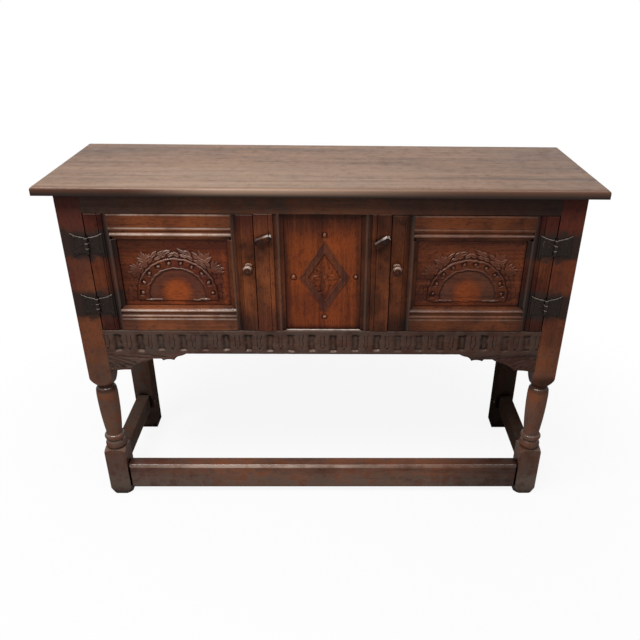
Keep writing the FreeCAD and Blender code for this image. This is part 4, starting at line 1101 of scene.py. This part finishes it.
def centre_panel():
    """The fixed panel between the doors, carved with the lozenge."""
    node = "centre_panel"
    x, z, face, back, middle = panel_grid(node)
    across, up = by_hand(x, z, node)
    heights, *shades = lozenge_relief(across - middle.x, up - middle.z)
    carving = (hand_cut(heights, x, z, node), *shades)
    board = carved_board("lozenge_panel", x, z, carving, face, back)
    stand_for(board, node, "carcase", "carved_oak")


def lower_edge(node, columns, depth):
    """Heights of a solid's lower edge at the columns, found by rays from the floor."""
    edge = []
    for column in columns:
        _, spot, _, _ = node.ray_cast(Vector((column, depth, 0)) * MM, Vector((0, 0, 1)))
        edge.append(spot.z / MM)
    return np.array(edge)[None, :]


def frieze_rail():
    """The carved rail below the doors; its lower edge is read from the solid."""
    node = "frieze_rail"
    low, high = (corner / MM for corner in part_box(node))
    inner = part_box("front_right_leg")[0].x / MM
    inset = 0.2
    columns = np.linspace(-inner, inner, round(2 * inner / FRIEZE_STEP) + 1)
    inside = np.clip(columns, -inner + inset, inner - inset)
    edge = lower_edge(nodes[node], inside, (low.y + high.y) / 2)
    share = np.linspace(0, 1, FRIEZE_ROWS)[:, None]
    x = np.repeat(columns[None, :], FRIEZE_ROWS, 0)
    z = edge + (high.z - edge) * share
    heights, *shades = frieze_relief(*by_hand(x, z, node), edge)
    heights = heights + 3 * TOOL_MARKS * tool_marks(x, z, node)
    rounded = 1.6 * (1 - smooth(0, 3.0, z - edge)) + 1.2 * (1 - smooth(0, 2.0, high.z - z))
    carving = (np.minimum(heights - rounded, 0), *shades)
    board = carved_board("carved_frieze", x, z, carving, low.y, high.y)
    stand_for(board, node, "carcase", "frame_oak")


# Floor, light and camera

WHITE = (1, 1, 1, 1)
FLOOR_REACH = 60.0
FLOOR_DROP = 0.2 * MM
FLOOR_GREY = (0.86, 0.86, 0.86)
# Share of white in the floor under the piece, and the distances over which it turns all white
FLOOR_WHITE = 0.9
FLOOR_CLEARS = (0.5, 1.4)
# Strength of the sky as a light
SKY_FILL = 0.2
# Name, place, aim, width, depth and power of each lamp
SOFTBOXES = [
    ("overhead_left", (-0.85, -1.05, 2.35), (-0.1, -0.1, 0.6), 1.8, 0.3, 48),
    ("overhead_right", (0.75, -1.05, 2.35), (0.1, -0.1, 0.6), 1.3, 0.3, 11),
]


def seen_rays(tree):
    """1 for rays that show the backdrop: straight, mirrored or through glass."""
    path = add(tree, "LightPath").outputs
    seen = larger(path["Is Camera Ray"], path["Is Glossy Ray"])
    return larger(seen, path["Is Transmission Ray"])


def floor():
    """A pale floor that keeps the shadow near the piece and runs out to white."""
    mesh = bpy.data.meshes.new("floor")
    corners = [(-1, -1), (1, -1), (1, 1), (-1, 1)]
    points = [(x * FLOOR_REACH, y * FLOOR_REACH, -FLOOR_DROP) for x, y in corners]
    mesh.from_pydata(points, [], [(0, 1, 2, 3)])
    ground = bpy.data.objects.new("floor", mesh)
    scene.collection.objects.link(ground)
    material, tree = new_material("floor")
    place = coordinates(tree, "Object")
    distance = add(tree, "VectorMath", {0: place}, operation="LENGTH").outputs["Value"]
    far = times(fade(distance, *FLOOR_CLEARS, low=FLOOR_WHITE), seen_rays(tree))
    matt = add(tree, "BsdfDiffuse", {"Color": solid(FLOOR_GREY)}).outputs[0]
    white = add(tree, "Emission", {"Color": WHITE, "Strength": 1.0}).outputs[0]
    surface = add(tree, "MixShader", {0: far, 1: matt, 2: white}).outputs[0]
    add(tree, "OutputMaterial", {"Surface": surface})
    mesh.materials.append(material)


def studio_sky():
    """White where it is seen or mirrored, and a softer grey as a light."""
    world = bpy.data.worlds.new("studio")
    world.use_nodes = True
    scene.world = world
    tree = world.node_tree
    tree.nodes.clear()
    soft = add(tree, "Background", {"Color": WHITE, "Strength": SKY_FILL}).outputs[0]
    white = add(tree, "Background", {"Color": WHITE, "Strength": 1.0}).outputs[0]
    both = add(tree, "MixShader", {0: seen_rays(tree), 1: soft, 2: white}).outputs[0]
    add(tree, "OutputWorld", {"Surface": both})


def softbox(name, place, aim, width, depth, power):
    """A soft rectangular lamp that looks at its aim."""
    lamp = bpy.data.lights.new(name, "AREA")
    lamp.shape = "RECTANGLE"
    lamp.size = width
    lamp.size_y = depth
    lamp.energy = power
    light = bpy.data.objects.new(name, lamp)
    light.location = place
    light.rotation_euler = (Vector(aim) - Vector(place)).to_track_quat("-Z", "Y").to_euler()
    scene.collection.objects.link(light)


def photo_camera():
    """The photograph's viewpoint."""
    lens = bpy.data.cameras.new("photo_camera")
    lens.sensor_width = SENSOR_WIDTH
    lens.lens = FOCAL_PIXELS / IMAGE_SIZE * SENSOR_WIDTH
    lens.shift_x = 0.5 - CENTRE_PIXEL[0] / IMAGE_SIZE
    lens.shift_y = CENTRE_PIXEL[1] / IMAGE_SIZE - 0.5
    camera = bpy.data.objects.new("photo_camera", lens)
    turn = Matrix.Rotation(CAMERA_YAW, 4, "Z") @ Matrix.Rotation(math.pi / 2 - CAMERA_PITCH, 4, "X")
    camera.matrix_world = Matrix.Translation(CAMERA_PLACE) @ turn @ Matrix.Rotation(CAMERA_ROLL, 4, "Z")
    scene.collection.objects.link(camera)
    scene.camera = camera


slots = {part["node"]: part["material_slot"] for part in frame["record"]["subparts"]}
for name, node in nodes.items():
    soften(node, by_word(name, EDGE_WIDTHS, 1.0))
    dress(node, name, slots[name])
for side, warmth in DOOR_WARMTH_AND_LIGHT.items():
    door_panel(side, warmth)
centre_panel()
frieze_rail()
floor()
studio_sky()
for lamp in SOFTBOXES:
    softbox(*lamp)
photo_camera()
scene.view_settings.view_transform = "Standard"
